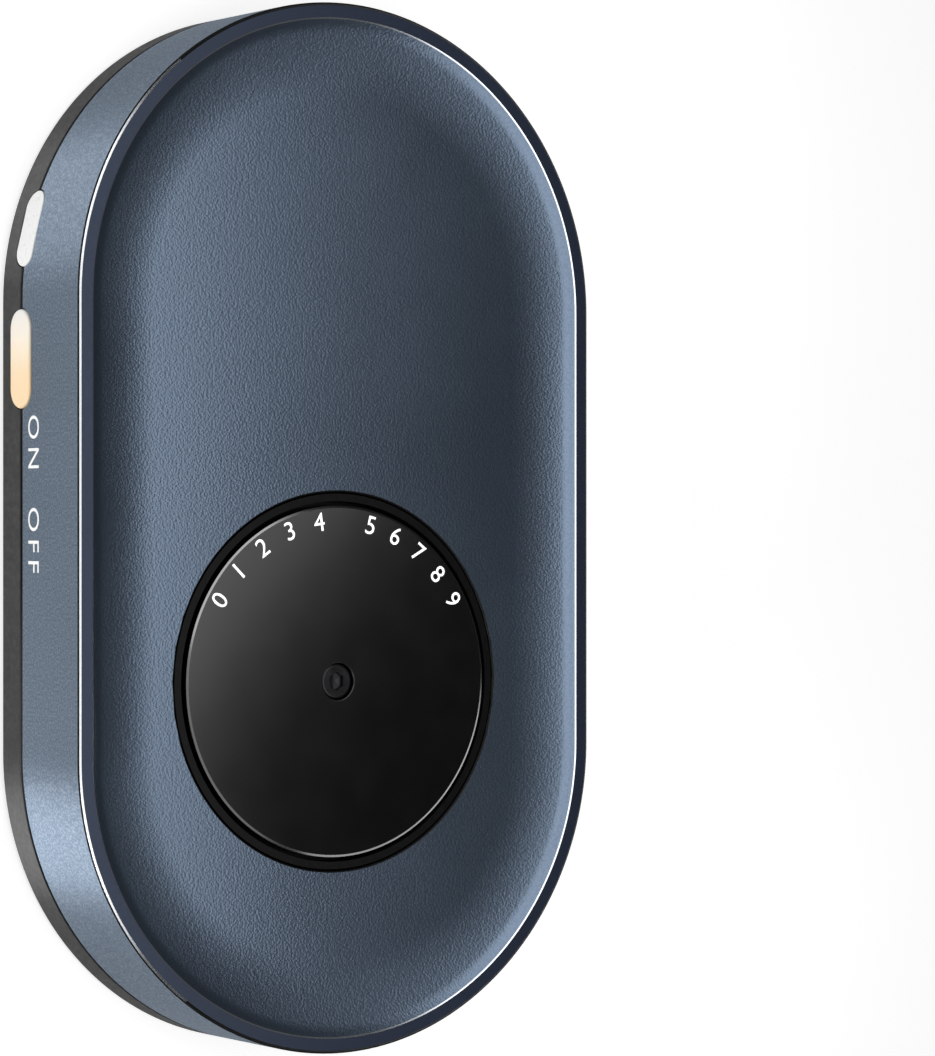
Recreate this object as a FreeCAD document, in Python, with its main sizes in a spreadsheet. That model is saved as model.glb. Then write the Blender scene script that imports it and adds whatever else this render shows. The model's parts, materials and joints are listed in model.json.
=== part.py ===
import FreeCAD, Part
import math
import os
import Sketcher

# Mouse jiggler: a slim stadium-shaped case with a turntable disc that a mouse stands on.
# Frame: origin on the desk under the middle of the case, +Z up, +Y towards the inlet end,
# the power button on the -X side. Millimetres.

Vector = FreeCAD.Vector
doc = FreeCAD.newDocument("MouseJiggler")

# ---------------------------------------------------------------- driving sizes

driving = {
    # case
    "case_length": 140, "case_width": 80.6, "base_height": 5.75, "reveal_gap": 0.6,
    "shell_height": 14.55, "wall": 2, "floor_thickness": 2.1, "roof_thickness": 2,
    "edge_chamfer": 0.4, "lip_thickness": 1.2, "lip_height": 1.1, "lip_clearance": 0.1,
    # dished top
    "rim_width": 2.3, "dish_width": 9, "dish_depth": 1.7, "rim_slope": 40, "knee_slope": 12,
    # rubber feet and the bare panel under the case
    "foot_diameter": 12, "foot_proud": 0.5, "foot_seat": 0.5, "foot_chamfer": 0.3,
    "foot_inset": 12.4, "foot_angle": 30.8,
    "panel_length": 30, "panel_width": 20, "panel_depth": 0.3, "panel_place": 43,
    # turntable disc
    "disc_back": 20.5, "disc_diameter": 47, "disc_thickness": 2.2, "disc_proud": 0.12,
    "disc_round": 0.25, "well_gap": 0.6, "well_ring_wall": 1, "well_ring_clearance": 0.2,
    "well_ring_drop": 0.2, "disc_screw_sink": 0.35,
    # spindle and its bushes
    "spindle_diameter": 4, "flange_diameter": 12, "flange_thickness": 0.8, "flange_gap": 0.15,
    "bush_wall": 1.2, "bush_flange_wall": 1, "bush_flange": 0.5, "run_clearance": 0.03,
    "thrust_pad": 0.6, "end_gap": 0.1, "drive_pin_diameter": 1.6, "drive_pin_spread": 8,
    "drive_pin_length": 1.6,
    # screws, and the columns and posts that they go into
    "case_screw": 2.2, "machine_screw": 2.5, "small_screw": 1.8, "screw_clearance": 0.1,
    "head_ratio": 1.9, "head_height": 1.3, "head_sink": 0.7, "cross_depth": 0.7,
    "cross_width": 0.5, "cross_reach": 0.6, "socket_depth": 0.78, "thread_grip": 6,
    "board_grip": 3, "pilot_spare": 0.5,
    "column_wall": 2, "post_wall": 1.5, "stalk_wall": 1.2, "column_gap": 0.3,
    "end_screw_angle": 61.8, "side_screw_back": 2,
    "low_post_angle": 35, "left_post_angle": 33, "right_post_angle": 20, "far_post_angle": 52,
    "post_gap": 2,
    # gear train
    "gear_module": 0.5, "pressure_angle": 20, "pinion_teeth": 12, "wheel_teeth": 48,
    "output_teeth": 60, "pinion_addendum": 1, "wheel_addendum": 0.75, "root_depth": 1.25,
    "gear_slack": 0.12, "gear_headroom": 1.37, "layer_gap": 0.4,
    "pin_diameter": 1.5, "hub_wall": 0.65, "bore_clearance": 0.03,
    "first_angle": 60, "second_angle": 90, "motor_angle": 150,
    # mechanism plates
    "plate_thickness": 1.5, "plate_post": 1.7, "plate_flange": 5.4, "plate_margin": 1,
    # motor
    "motor_diameter": 20, "motor_headroom": 0.6, "motor_sink": 2.6, "motor_cap": 0.8,
    "motor_cap_inset": 0.3, "motor_ear_reach": 13, "motor_ear_radius": 3,
    "motor_ear_thickness": 0.8, "motor_ear_angle": 30, "motor_shaft": 2, "motor_nose": 6,
    "motor_nose_height": 0.4, "motor_clearance": 0.2, "shaft_proud": 0.4,
    "terminal_width": 1.6, "terminal_length": 3, "terminal_sheet": 0.4, "terminal_spread": 5,
    "lead_diameter": 0.9, "lead_pitch": 2.6, "lead_entry": 2.4,
    # control board
    "board_thickness": 1.6, "board_clear": 5.6, "board_gap": 4.3, "board_reach": 22.3,
    "board_half_width": 24, "board_tongue": 7, "board_edge_gap": 3.3, "board_end_gap": 4,
    "board_arm_width": 15, "board_arm_reach": 9, "board_corner": 6.5, "board_screw_inset": 5,
    "arm_screw_inset": 3, "capacitor_diameter": 4, "capacitor_height": 4.6,
    "capacitor_across": 15, "capacitor_along": 4.5,
    "resistor_count": 5, "ceramic_count": 4, "chip_pitch": 2,
    # power button and its switch
    "button_length": 13, "button_height": 5.2, "button_set_back": 7.6, "button_proud": 0.35,
    "button_travel": 0.8, "slot_clearance": 0.15, "button_round": 0.3, "button_ear": 1.5,
    "button_flange": 1, "button_seat_gap": 0.15, "notch_spare": 0.4, "stem_width": 3, "stem_height": 2.4,
    "stop_thickness": 1.2, "stop_width": 1.4,
    "switch_width": 8, "switch_length": 8, "switch_height": 4.6, "switch_set": 1,
    "plunger_length": 3.5, "plunger_reach": 1, "plunger_width": 2.4, "plunger_height": 1.8,
    "plunger_clearance": 0.1,
    # status light
    "lens_length": 10.4, "lens_height": 4.3, "lens_angle": 13.8, "lens_proud": 0.05,
    "lens_flange": 0.6, "lens_seat_gap": 0.05, "lens_notch_spare": 1,
    "led_depth": 1.6, "led_length": 3.4, "led_height": 2.8, "led_gap": 1.6, "led_window": 0.3,
    # micro-USB inlet
    "usb_width": 7.5, "usb_height": 2.6, "usb_depth": 5.4, "usb_recess": 3.4,
    "usb_sheet": 0.3, "usb_back": 0.6, "usb_tongue_width": 4.5, "usb_tongue_length": 3.8,
    "usb_tongue_thickness": 0.7, "inlet_width": 11.4, "inlet_height": 7, "inlet_depth": 12,
}

# parts soldered under the board: length, width, height, then the place of the middle,
# across from the centre line and along from the place that the group is set out from
back_components = {
    "motor_driver": (5, 4, 1.5, -11, 6.5),
    "lead_header": (6, 4.2, 3.6, -4, 6.5),
}
front_components = {
    "microcontroller": (7, 7, 1.2, 8, -8),
    "crystal": (3.2, 1.5, 0.8, 1.5, -8),
    "resistor": (1.6, 0.8, 0.5, -8, -2.5),
}
inlet_components = {
    "ceramic": (0.9, 1.6, 0.8, -3, -4.2),
}
component_groups = {
    "Places.board_back": back_components,
    "Places.board_front": front_components,
    "Places.usb_back": inlet_components,
}
for name, values in {**back_components, **front_components, **inlet_components}.items():
    for key, value in zip(("length", "width", "height", "across", "along"), values):
        driving["%s_%s" % (name, key)] = value

sizes = doc.addObject("Spreadsheet::Sheet", "Sizes")
for row, (alias, value) in enumerate(driving.items(), 1):
    sizes.set("A%d" % row, alias)
    sizes.set("B%d" % row, str(value))
    sizes.setAlias("B%d" % row, alias)
doc.recompute()

# ---------------------------------------------------------------- derived places

places = doc.addObject("App::VarSet", "Places")


def place(name, expression):
    places.addProperty("App::PropertyFloat", name, "Places")
    places.setExpression(name, expression)
    places.recompute()


# heights above the desk
place("base_bottom", "Sizes.foot_proud")
place("floor_top", "base_bottom + Sizes.floor_thickness")
place("base_top", "base_bottom + Sizes.base_height")
place("shell_bottom", "base_top + Sizes.reveal_gap")
place("seam", "base_top + Sizes.reveal_gap / 2")
place("lip_top", "shell_bottom + Sizes.lip_height")
place("rim_top", "shell_bottom + Sizes.shell_height")
place("dish_floor", "rim_top - Sizes.dish_depth")
place("roof_under", "dish_floor - Sizes.roof_thickness")
place("disc_top", "dish_floor + Sizes.disc_proud")
place("disc_under", "disc_top - Sizes.disc_thickness")
place("flange_under", "disc_under - Sizes.flange_thickness")
place("well_top", "flange_under - Sizes.flange_gap")
place("well_under", "well_top - Sizes.plate_thickness")
place("plate_under", "floor_top + Sizes.plate_post")
place("plate_top", "plate_under + Sizes.plate_thickness")
place("layer_a", "plate_top + Sizes.bush_flange + Sizes.end_gap")
place("gear_width", "(well_under - layer_a - 2 * Sizes.layer_gap - Sizes.gear_headroom) / 3")
place("layer_b", "layer_a + gear_width + Sizes.layer_gap")
place("layer_c", "layer_b + gear_width + Sizes.layer_gap")
place("thrust_top", "floor_top + Sizes.thrust_pad")
place("board_under", "floor_top + Sizes.board_clear")
place("board_top", "board_under + Sizes.board_thickness")
place("head_top", "base_bottom + Sizes.head_sink + Sizes.head_height")

# case outlines
place("end_radius", "Sizes.case_width / 2")
place("end_centre", "Sizes.case_length / 2 - end_radius")
place("inner_radius", "end_radius - Sizes.wall")
place("lip_radius", "inner_radius - Sizes.lip_clearance")
place("tray_radius", "lip_radius - Sizes.lip_thickness")
place("rim_radius", "end_radius - Sizes.rim_width")
place("dish_radius", "rim_radius - Sizes.dish_width")

# dished slope: a tight arc under the rim, then a wide one that runs out flat on the floor
place("knee_run", "sin(Sizes.rim_slope) - sin(Sizes.knee_slope)")
place("knee_fall", "cos(Sizes.knee_slope) - cos(Sizes.rim_slope)")
place("toe_run", "sin(Sizes.knee_slope)")
place("toe_fall", "1 - cos(Sizes.knee_slope)")
place("toe_radius", "(Sizes.dish_width - Sizes.dish_depth * knee_run / knee_fall)"
      " / (toe_run - toe_fall * knee_run / knee_fall)")
place("knee_radius", "(Sizes.dish_depth - toe_radius * toe_fall) / knee_fall")
place("knee_out", "dish_radius + toe_radius * toe_run")
place("knee_up", "dish_floor + toe_radius * toe_fall")

# turntable
place("disc_radius", "Sizes.disc_diameter / 2")
place("ring_inner", "disc_radius + Sizes.well_gap")
place("ring_outer", "ring_inner + Sizes.well_ring_wall")
place("well_hole", "ring_outer + Sizes.well_ring_clearance")
place("well_radius", "ring_outer + Sizes.plate_flange")
place("spindle_radius", "Sizes.spindle_diameter / 2")
place("bush_bore", "spindle_radius + Sizes.run_clearance")
place("bush_radius", "bush_bore + Sizes.bush_wall")
place("bush_rim", "bush_radius + Sizes.bush_flange_wall")
place("spindle_y", "-Sizes.disc_back")

# gear centres, stepping from the spindle to the motor
place("low_step", "Sizes.gear_module * (Sizes.output_teeth + Sizes.pinion_teeth) / 2")
place("wheel_step", "Sizes.gear_module * (Sizes.wheel_teeth + Sizes.pinion_teeth) / 2")
place("gear_two_x", "low_step * cos(Sizes.first_angle)")
place("gear_two_y", "spindle_y + low_step * sin(Sizes.first_angle)")
place("gear_one_x", "gear_two_x + wheel_step * cos(Sizes.second_angle)")
place("gear_one_y", "gear_two_y + wheel_step * sin(Sizes.second_angle)")
place("motor_x", "gear_one_x + wheel_step * cos(Sizes.motor_angle)")
place("motor_y", "gear_one_y + wheel_step * sin(Sizes.motor_angle)")
place("wheel_tip", "Sizes.gear_module * (Sizes.wheel_teeth / 2 + Sizes.wheel_addendum)")
place("pin_radius", "Sizes.pin_diameter / 2")
place("hub_radius", "pin_radius + Sizes.hub_wall")
place("motor_radius", "Sizes.motor_diameter / 2")
place("motor_under", "plate_top - Sizes.motor_sink")
place("motor_top", "layer_c - Sizes.motor_headroom")
place("ear_x", "Sizes.motor_ear_reach * cos(Sizes.motor_ear_angle)")
place("ear_y", "Sizes.motor_ear_reach * sin(Sizes.motor_ear_angle)")

# five posts carry the mechanism between base and well
place("post_radius", "Sizes.case_screw / 2 + Sizes.post_wall")
place("post_low_x", "ring_outer * cos(Sizes.low_post_angle)")
place("post_low_y", "spindle_y - ring_outer * sin(Sizes.low_post_angle)")
place("post_left_x", "-ring_outer * cos(Sizes.left_post_angle)")
place("post_left_y", "spindle_y + ring_outer * sin(Sizes.left_post_angle)")
place("post_step", "wheel_tip + post_radius + Sizes.post_gap")
place("post_right_x", "gear_two_x + post_step * cos(Sizes.right_post_angle)")
place("post_right_y", "gear_two_y + post_step * sin(Sizes.right_post_angle)")
place("post_far_x", "gear_one_x + post_step * cos(Sizes.far_post_angle)")
place("post_far_y", "gear_one_y + post_step * sin(Sizes.far_post_angle)")
place("plate_left", "motor_x - ear_x - Sizes.motor_ear_radius")
place("plate_right", "post_right_x + post_radius + Sizes.plate_margin")
place("plate_far", "post_far_y + post_radius + Sizes.plate_margin")

# case screw columns, close inside the lip, and the feet
place("column_radius", "Sizes.case_screw / 2 + Sizes.column_wall")
place("column_reach", "tray_radius - column_radius - Sizes.column_gap")
place("end_column_x", "column_reach * cos(Sizes.end_screw_angle)")
place("end_column_y", "end_centre + column_reach * sin(Sizes.end_screw_angle)")
place("foot_x", "(end_radius - Sizes.foot_inset) * cos(Sizes.foot_angle)")
place("foot_y", "end_centre + (end_radius - Sizes.foot_inset) * sin(Sizes.foot_angle)")

# board, button, light and inlet
place("board_back", "plate_far + Sizes.board_gap")
place("board_front", "end_centre + Sizes.board_reach")
place("board_end", "Sizes.case_length / 2 - Sizes.board_end_gap")
place("board_left", "Sizes.board_edge_gap - inner_radius")
place("board_arm_right", "board_left + Sizes.board_arm_width")
place("button_place", "end_centre - Sizes.button_set_back")
place("board_arm_back", "button_place - Sizes.board_arm_reach")
place("button_face", "-end_radius - Sizes.button_proud")
place("ear_back", "Sizes.button_seat_gap - inner_radius")
place("ear_front", "ear_back + Sizes.button_flange")
place("switch_face", "board_left + Sizes.switch_set")
place("plunger_face", "switch_face - Sizes.plunger_reach")
place("button_notch_length", "Sizes.button_length + 2 * Sizes.button_ear + 2 * Sizes.slot_clearance")
place("lens_notch_length", "Sizes.lens_length + 2 * Sizes.lens_flange + 2 * Sizes.slot_clearance")
place("lens_turn", "180 - Sizes.lens_angle")
place("usb_end", "Sizes.case_length / 2 - Sizes.usb_recess")
place("usb_low", "board_under - Sizes.usb_height")
place("usb_back", "usb_end - Sizes.usb_depth")
doc.recompute()


def number(expression):
    """Value of an expression over the sheet and the derived places."""
    return float(places.evalExpression(expression))


# ---------------------------------------------------------------- drawing helpers


def new_body(name):
    return doc.addObject("PartDesign::Body", name)


def new_sketch(body, name, height="0", role="XY_Plane"):
    """Sketch on one of the body's own origin planes, moved along its normal."""
    plane = next(item for item in body.Origin.OriginFeatures if item.Role == role)
    sketch = body.newObject("Sketcher::SketchObject", name)
    sketch.AttachmentSupport = [(plane, "")]
    sketch.MapMode = "FlatFace"
    sketch.setExpression("AttachmentOffset.Base.z", height)
    return sketch


def dimension(sketch, kind, where, expression):
    row = sketch.addConstraint(Sketcher.Constraint(kind, *where, number(expression)))
    sketch.setExpression("Constraints[%d]" % row, expression)


def fix_point(sketch, edge, end, x, y):
    dimension(sketch, "DistanceX", (-1, 1, edge, end), x)
    dimension(sketch, "DistanceY", (-1, 1, edge, end), y)


def draw_circle(sketch, x, y, radius):
    circle = Part.Circle(Vector(number(x), number(y), 0), Vector(0, 0, 1), number(radius))
    edge = sketch.addGeometry(circle, False)
    dimension(sketch, "Radius", (edge,), radius)
    fix_point(sketch, edge, 3, x, y)


def draw_outline(sketch, corners):
    """Closed outline of straight edges; each corner is (x, y) as two expressions.
    A third entry on a corner bends the edge that leaves it: (radius, side), where side
    is +1 for an arc that bulges to the left of the way to the next corner."""
    points = [Vector(number(corner[0]), number(corner[1]), 0) for corner in corners]
    points.append(points[0])
    edges = []
    for corner, start, finish in zip(corners, points, points[1:]):
        if len(corner) == 3:
            radius, side = number(corner[2][0]), corner[2][1]
            chord = finish - start
            normal = Vector(-chord.y, chord.x, 0).normalize() * side
            rise = radius - math.sqrt(radius ** 2 - (chord.Length / 2) ** 2)
            crown = (start + finish) * 0.5 + normal * rise
            edges.append(sketch.addGeometry(Part.Arc(start, crown, finish), False))
        else:
            edges.append(sketch.addGeometry(Part.LineSegment(start, finish), False))
    for corner, edge, after, meeting in zip(corners, edges, edges[1:] + edges[:1], points[1:]):
        # an arc may be stored the other way round, so each end is found by its place
        end = 2 if sketch.Geometry[edge].EndPoint.isEqual(meeting, 1e-6) else 1
        first = 1 if sketch.Geometry[after].StartPoint.isEqual(meeting, 1e-6) else 2
        sketch.addConstraint(Sketcher.Constraint("Coincident", edge, end, after, first))
        fix_point(sketch, edge, 3 - end, corner[0], corner[1])
        if len(corner) == 3:
            dimension(sketch, "Radius", (edge,), corner[2][0])


def draw_box(sketch, left, right, back, front):
    draw_outline(sketch, [(left, back), (right, back), (right, front), (left, front)])


def draw_stadium(sketch, radius, half_run):
    """Two half circles joined by straight sides along Y."""
    reach, run = number(radius), number(half_run)
    right_far, left_far = Vector(reach, run, 0), Vector(-reach, run, 0)
    right_near, left_near = Vector(reach, -run, 0), Vector(-reach, -run, 0)
    far_end, near_end = Vector(0, run + reach, 0), Vector(0, -run - reach, 0)
    far = sketch.addGeometry(Part.Arc(right_far, far_end, left_far), False)
    near = sketch.addGeometry(Part.Arc(left_near, near_end, right_near), False)
    left = sketch.addGeometry(Part.LineSegment(left_far, left_near), False)
    right = sketch.addGeometry(Part.LineSegment(right_near, right_far), False)
    for first, end, second, start in ((far, 2, left, 1), (left, 2, near, 1),
                                      (near, 2, right, 1), (right, 2, far, 1)):
        sketch.addConstraint(Sketcher.Constraint("Tangent", first, end, second, start))
    dimension(sketch, "Radius", (far,), radius)
    fix_point(sketch, far, 3, "0", half_run)
    fix_point(sketch, near, 3, "0", "-(%s)" % half_run)


def pad(body, sketch, length):
    feature = body.newObject("PartDesign::Pad", sketch.Name + "Pad")
    feature.Profile = sketch
    feature.setExpression("Length", length)
    return feature


def pocket(body, sketch, length):
    """Cut upwards from the sketch: every pocket here is drawn at its lower end."""
    feature = body.newObject("PartDesign::Pocket", sketch.Name + "Pocket")
    feature.Profile = sketch
    feature.Reversed = True
    feature.setExpression("Length", length)
    return feature


def place_at(item, x="0", y="0", z="0", turn=None):
    for axis, expression in zip("xyz", (x, y, z)):
        item.setExpression("Placement.Base." + axis, expression)
    if turn:
        item.setExpression("Placement.Rotation.Angle", turn)


def cylinder(name, radius, height, x="0", y="0", z="0"):
    item = doc.addObject("Part::Cylinder", name)
    item.setExpression("Radius", radius)
    item.setExpression("Height", height)
    place_at(item, x, y, z)
    return item


def block(name, length, width, height, x="0", y="0", z="0"):
    """Box centred on x and y, standing on z."""
    item = doc.addObject("Part::Box", name)
    item.setExpression("Length", length)
    item.setExpression("Width", width)
    item.setExpression("Height", height)
    place_at(item, "(%s) - (%s) / 2" % (x, length), "(%s) - (%s) / 2" % (y, width), z)
    return item


def join(name, items):
    item = doc.addObject("Part::MultiFuse", name)
    item.Shapes = items
    return item


def cut(name, base, tool):
    item = doc.addObject("Part::Cut", name)
    item.Base = base
    item.Tool = tool
    return item


def pill(name, length, height, back, front, middle="Places.seam"):
    """Round-ended bar: long along Y, round ends upright, running along X from back to front."""
    side = doc.addObject("Part::Box", name + "Side")
    side.setExpression("Length", "(%s) - (%s)" % (front, back))
    side.setExpression("Width", "(%s) - (%s)" % (length, height))
    side.setExpression("Height", height)
    place_at(side, back, "-((%s) - (%s)) / 2" % (length, height),
             "%s - (%s) / 2" % (middle, height))
    ends = []
    for mark, sign in (("Near", "-"), ("Far", "")):
        end = doc.addObject("Part::Cylinder", name + mark)
        end.setExpression("Radius", "(%s) / 2" % height)
        end.setExpression("Height", "(%s) - (%s)" % (front, back))
        end.Placement.Rotation = FreeCAD.Rotation(Vector(0, 1, 0), 90)
        place_at(end, back, "%s((%s) - (%s)) / 2" % (sign, length, height), middle)
        ends.append(end)
    return join(name, [side] + ends)


parts = []


def finish(item, label):
    item.Label = label
    parts.append(item)
    return item


# ---------------------------------------------------------------- fastener places

corners = [(across, along) for across in ("", "-") for along in ("", "-")]
case_columns = [(across + "Places.end_column_x", along + "Places.end_column_y")
                for across, along in corners]
case_columns += [(across + "Places.column_reach", "-Sizes.side_screw_back") for across in ("", "-")]
mechanism_posts = [
    ("Places.post_low_x", "Places.post_low_y"),
    ("-Places.post_low_x", "Places.post_low_y"),
    ("Places.post_left_x", "Places.post_left_y"),
    ("Places.post_right_x", "Places.post_right_y"),
    ("Places.post_far_x", "Places.post_far_y"),
]
board_screws = [
    ("Sizes.board_half_width - Sizes.board_screw_inset",
     "Places.board_back + 2 * Sizes.board_screw_inset"),
    ("1.5 * Sizes.board_screw_inset - Sizes.board_half_width",
     "Places.board_front - Sizes.board_screw_inset"),
    ("Places.board_arm_right - Sizes.arm_screw_inset",
     "Places.board_arm_back + Sizes.arm_screw_inset"),
]
motor_ears = [("Places.motor_x %s Places.ear_x" % side, "Places.motor_y %s Places.ear_y" % side)
              for side in "+-"]
feet = [(across + "Places.foot_x", along + "Places.foot_y") for across, along in corners]
spindle = ("0", "Places.spindle_y")
gear_one = ("Places.gear_one_x", "Places.gear_one_y")
gear_two = ("Places.gear_two_x", "Places.gear_two_y")
motor = ("Places.motor_x", "Places.motor_y")


def screws(label, spots, seat, length, size, driven="up"):
    """Pan-head screws with cross slots. The head lies against the seat, below it when
    the screw is driven up and above it when it is driven down."""
    head = "%s * Sizes.head_ratio / 2" % size
    arm = "%s * Sizes.head_ratio * Sizes.cross_reach" % size
    if driven == "up":
        head_low = seat + " - Sizes.head_height"
        slot_low = head_low
        shank_low = seat
    else:
        head_low = seat
        slot_low = seat + " + Sizes.head_height - Sizes.cross_depth"
        shank_low = "%s - (%s)" % (seat, length)
    pieces = []
    slots = []
    for mark, (x, y) in enumerate(spots):
        name = "%s%d" % (label, mark)
        pieces.append(cylinder(name + "Head", head, "Sizes.head_height", x, y, head_low))
        pieces.append(cylinder(name + "Shank", "%s / 2" % size, length, x, y, shank_low))
        slots.append(block(name + "SlotX", arm, "Sizes.cross_width", "Sizes.cross_depth",
                           x, y, slot_low))
        slots.append(block(name + "SlotY", "Sizes.cross_width", arm, "Sizes.cross_depth",
                           x, y, slot_low))
    finish(cut(label, join(label + "Blanks", pieces), join(label + "Slots", slots)), label)


# ---------------------------------------------------------------- openings through the side

inlet_tool = block("InletTool", "Sizes.inlet_width", "Sizes.inlet_depth", "Sizes.inlet_height",
                   "0", "Sizes.case_length / 2",
                   "Places.usb_low + (Sizes.usb_height - Sizes.inlet_height) / 2")
button_slot = pill("ButtonSlot", "Sizes.button_length + 2 * Sizes.slot_clearance",
                   "Sizes.button_height + 2 * Sizes.slot_clearance",
                   "-Places.end_radius - Sizes.wall", "-Places.tray_radius")
place_at(button_slot, y="Places.button_place")
notch_depth = "(Places.inner_radius - Places.tray_radius + Sizes.notch_spare)"
lens_notch_depth = "(%s + Sizes.lens_notch_spare)" % notch_depth
notch_height = "Places.lip_top - Places.floor_top"
button_notch = block("ButtonNotch", notch_depth, "Places.button_notch_length", notch_height,
                     "%s / 2 - Places.inner_radius" % notch_depth, "Places.button_place",
                     "Places.floor_top")
lens_slot = pill("LensSlot", "Sizes.lens_length + 2 * Sizes.slot_clearance",
                 "Sizes.lens_height + 2 * Sizes.slot_clearance",
                 "Places.tray_radius - Sizes.wall", "Places.end_radius + Sizes.wall")
lens_notch = block("LensNotch", lens_notch_depth, "Places.lens_notch_length", notch_height,
                   "Places.inner_radius - %s / 2" % lens_notch_depth, "0", "Places.floor_top")
lens_tool = join("LensTool", [lens_slot, lens_notch])
place_at(lens_tool, y="Places.end_centre", turn="Places.lens_turn")


# ---------------------------------------------------------------- base cover

def make_base():
    body = new_body("BaseBody")
    outline = new_sketch(body, "BaseOutline", "Places.base_bottom")
    draw_stadium(outline, "Places.end_radius", "Places.end_centre")
    pad(body, outline, "Sizes.base_height")
    doc.recompute()
    chamfer_edges(body, "Places.base_bottom")
    lip = new_sketch(body, "BaseLip", "Places.floor_top")
    draw_stadium(lip, "Places.lip_radius", "Places.end_centre")
    pad(body, lip, "Places.lip_top - Places.floor_top")
    tray = new_sketch(body, "BaseTray", "Places.floor_top")
    draw_stadium(tray, "Places.tray_radius", "Places.end_centre")
    pocket(body, tray, "Places.lip_top - Places.floor_top")
    columns = new_sketch(body, "BaseColumns", "Places.floor_top")
    for x, y in case_columns:
        draw_circle(columns, x, y, "Places.column_radius")
    pad(body, columns, "Places.base_top - Places.floor_top")
    posts = new_sketch(body, "BasePosts", "Places.floor_top")
    for x, y in mechanism_posts:
        draw_circle(posts, x, y, "Places.post_radius")
    pad(body, posts, "Sizes.plate_post")
    thrust = new_sketch(body, "BaseThrust", "Places.floor_top")
    draw_circle(thrust, *spindle, "Places.bush_rim")
    pad(body, thrust, "Sizes.thrust_pad")
    stops = new_sketch(body, "BaseStops", "Places.floor_top")
    back = "Places.ear_front + Sizes.button_travel"
    for sign in ("-", "+"):
        middle = "Places.button_place %s (Sizes.button_length + Sizes.button_ear) / 2" % sign
        draw_box(stops, back, "%s + Sizes.stop_thickness" % back,
                 "%s - Sizes.stop_width / 2" % middle, "%s + Sizes.stop_width / 2" % middle)
    pad(body, stops, "Places.seam - Places.floor_top")
    bores = new_sketch(body, "BaseBores", "Places.base_bottom")
    for x, y in case_columns + mechanism_posts:
        draw_circle(bores, x, y, "Sizes.case_screw / 2 + Sizes.screw_clearance")
    pocket(body, bores, "Places.base_top - Places.base_bottom")
    heads = new_sketch(body, "BaseHeads", "Places.base_bottom")
    for x, y in case_columns + mechanism_posts:
        draw_circle(heads, x, y, "Sizes.case_screw * Sizes.head_ratio / 2 + Sizes.screw_clearance")
    pocket(body, heads, "Sizes.head_sink + Sizes.head_height")
    seats = new_sketch(body, "BaseSeats", "Places.base_bottom")
    for x, y in feet:
        draw_circle(seats, x, y, "Sizes.foot_diameter / 2")
    pocket(body, seats, "Sizes.foot_seat")
    panel = new_sketch(body, "BasePanel", "Places.base_bottom")
    draw_box(panel, "-Sizes.panel_length / 2", "Sizes.panel_length / 2",
             "Sizes.panel_place - Sizes.panel_width / 2", "Sizes.panel_place + Sizes.panel_width / 2")
    pocket(body, panel, "Sizes.panel_depth")
    return body


def chamfer_edges(body, height):
    """Chamfer every edge of the body's last feature that lies flat at a height."""
    level = number(height)
    base = body.Tip
    names = []
    for mark, edge in enumerate(base.Shape.Edges, 1):
        box = edge.BoundBox
        if abs(box.ZMin - level) < 1e-6 and abs(box.ZMax - level) < 1e-6:
            names.append("Edge%d" % mark)
    feature = body.newObject("PartDesign::Chamfer", body.Name + "Chamfer")
    feature.Base = (base, names)
    feature.setExpression("Size", "Sizes.edge_chamfer")


base_body = make_base()
base_openings = join("BaseOpenings", [inlet_tool, button_slot, button_notch, lens_tool])
finish(cut("BaseCover", base_body, base_openings), "base_cover")


# ---------------------------------------------------------------- top shell

def make_shell():
    body = new_body("ShellBody")
    outline = new_sketch(body, "ShellOutline", "Places.shell_bottom")
    draw_stadium(outline, "Places.end_radius", "Places.end_centre")
    pad(body, outline, "Sizes.shell_height")
    doc.recompute()
    chamfer_edges(body, "Places.rim_top")
    cavity = new_sketch(body, "ShellCavity", "Places.shell_bottom")
    draw_stadium(cavity, "Places.inner_radius", "Places.end_centre")
    pocket(body, cavity, "Places.roof_under - Places.shell_bottom")
    columns = new_sketch(body, "ShellColumns", "Places.base_top")
    for x, y in case_columns:
        draw_circle(columns, x, y, "Places.column_radius")
    pad(body, columns, "Places.roof_under - Places.base_top")
    stalks = new_sketch(body, "ShellStalks", "Places.board_top")
    for x, y in board_screws:
        draw_circle(stalks, x, y, "Sizes.small_screw / 2 + Sizes.stalk_wall")
    pad(body, stalks, "Places.roof_under - Places.board_top")
    pilots = new_sketch(body, "ShellPilots", "Places.base_top")
    for x, y in case_columns:
        draw_circle(pilots, x, y, "Sizes.case_screw / 2")
    pocket(body, pilots, "Sizes.thread_grip + Sizes.pilot_spare")
    tips = new_sketch(body, "ShellTips", "Places.board_top")
    for x, y in board_screws:
        draw_circle(tips, x, y, "Sizes.small_screw / 2")
    pocket(body, tips, "Sizes.board_grip + Sizes.pilot_spare")
    mouth = new_sketch(body, "ShellMouth", "Places.roof_under")
    draw_circle(mouth, *spindle, "Places.well_hole")
    pocket(body, mouth, "Sizes.roof_thickness + Sizes.dish_depth")
    return body


def dish_outline(sketch, full):
    """Section of the dished top: rim, tight arc, wide arc, flat floor."""
    above = "Places.rim_top + Sizes.dish_depth"
    side = [("Places.rim_radius", above),
            ("Places.rim_radius", "Places.rim_top", ("Places.knee_radius", -1)),
            ("Places.knee_out", "Places.knee_up", ("Places.toe_radius", -1)),
            ("Places.dish_radius", "Places.dish_floor")]
    if full:
        other = [("-Places.dish_radius", "Places.dish_floor", ("Places.toe_radius", -1)),
                 ("-Places.knee_out", "Places.knee_up", ("Places.knee_radius", -1)),
                 ("-Places.rim_radius", "Places.rim_top"), ("-Places.rim_radius", above)]
    else:
        other = [("0", "Places.dish_floor"), ("0", above)]
    draw_outline(sketch, side + other)


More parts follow.
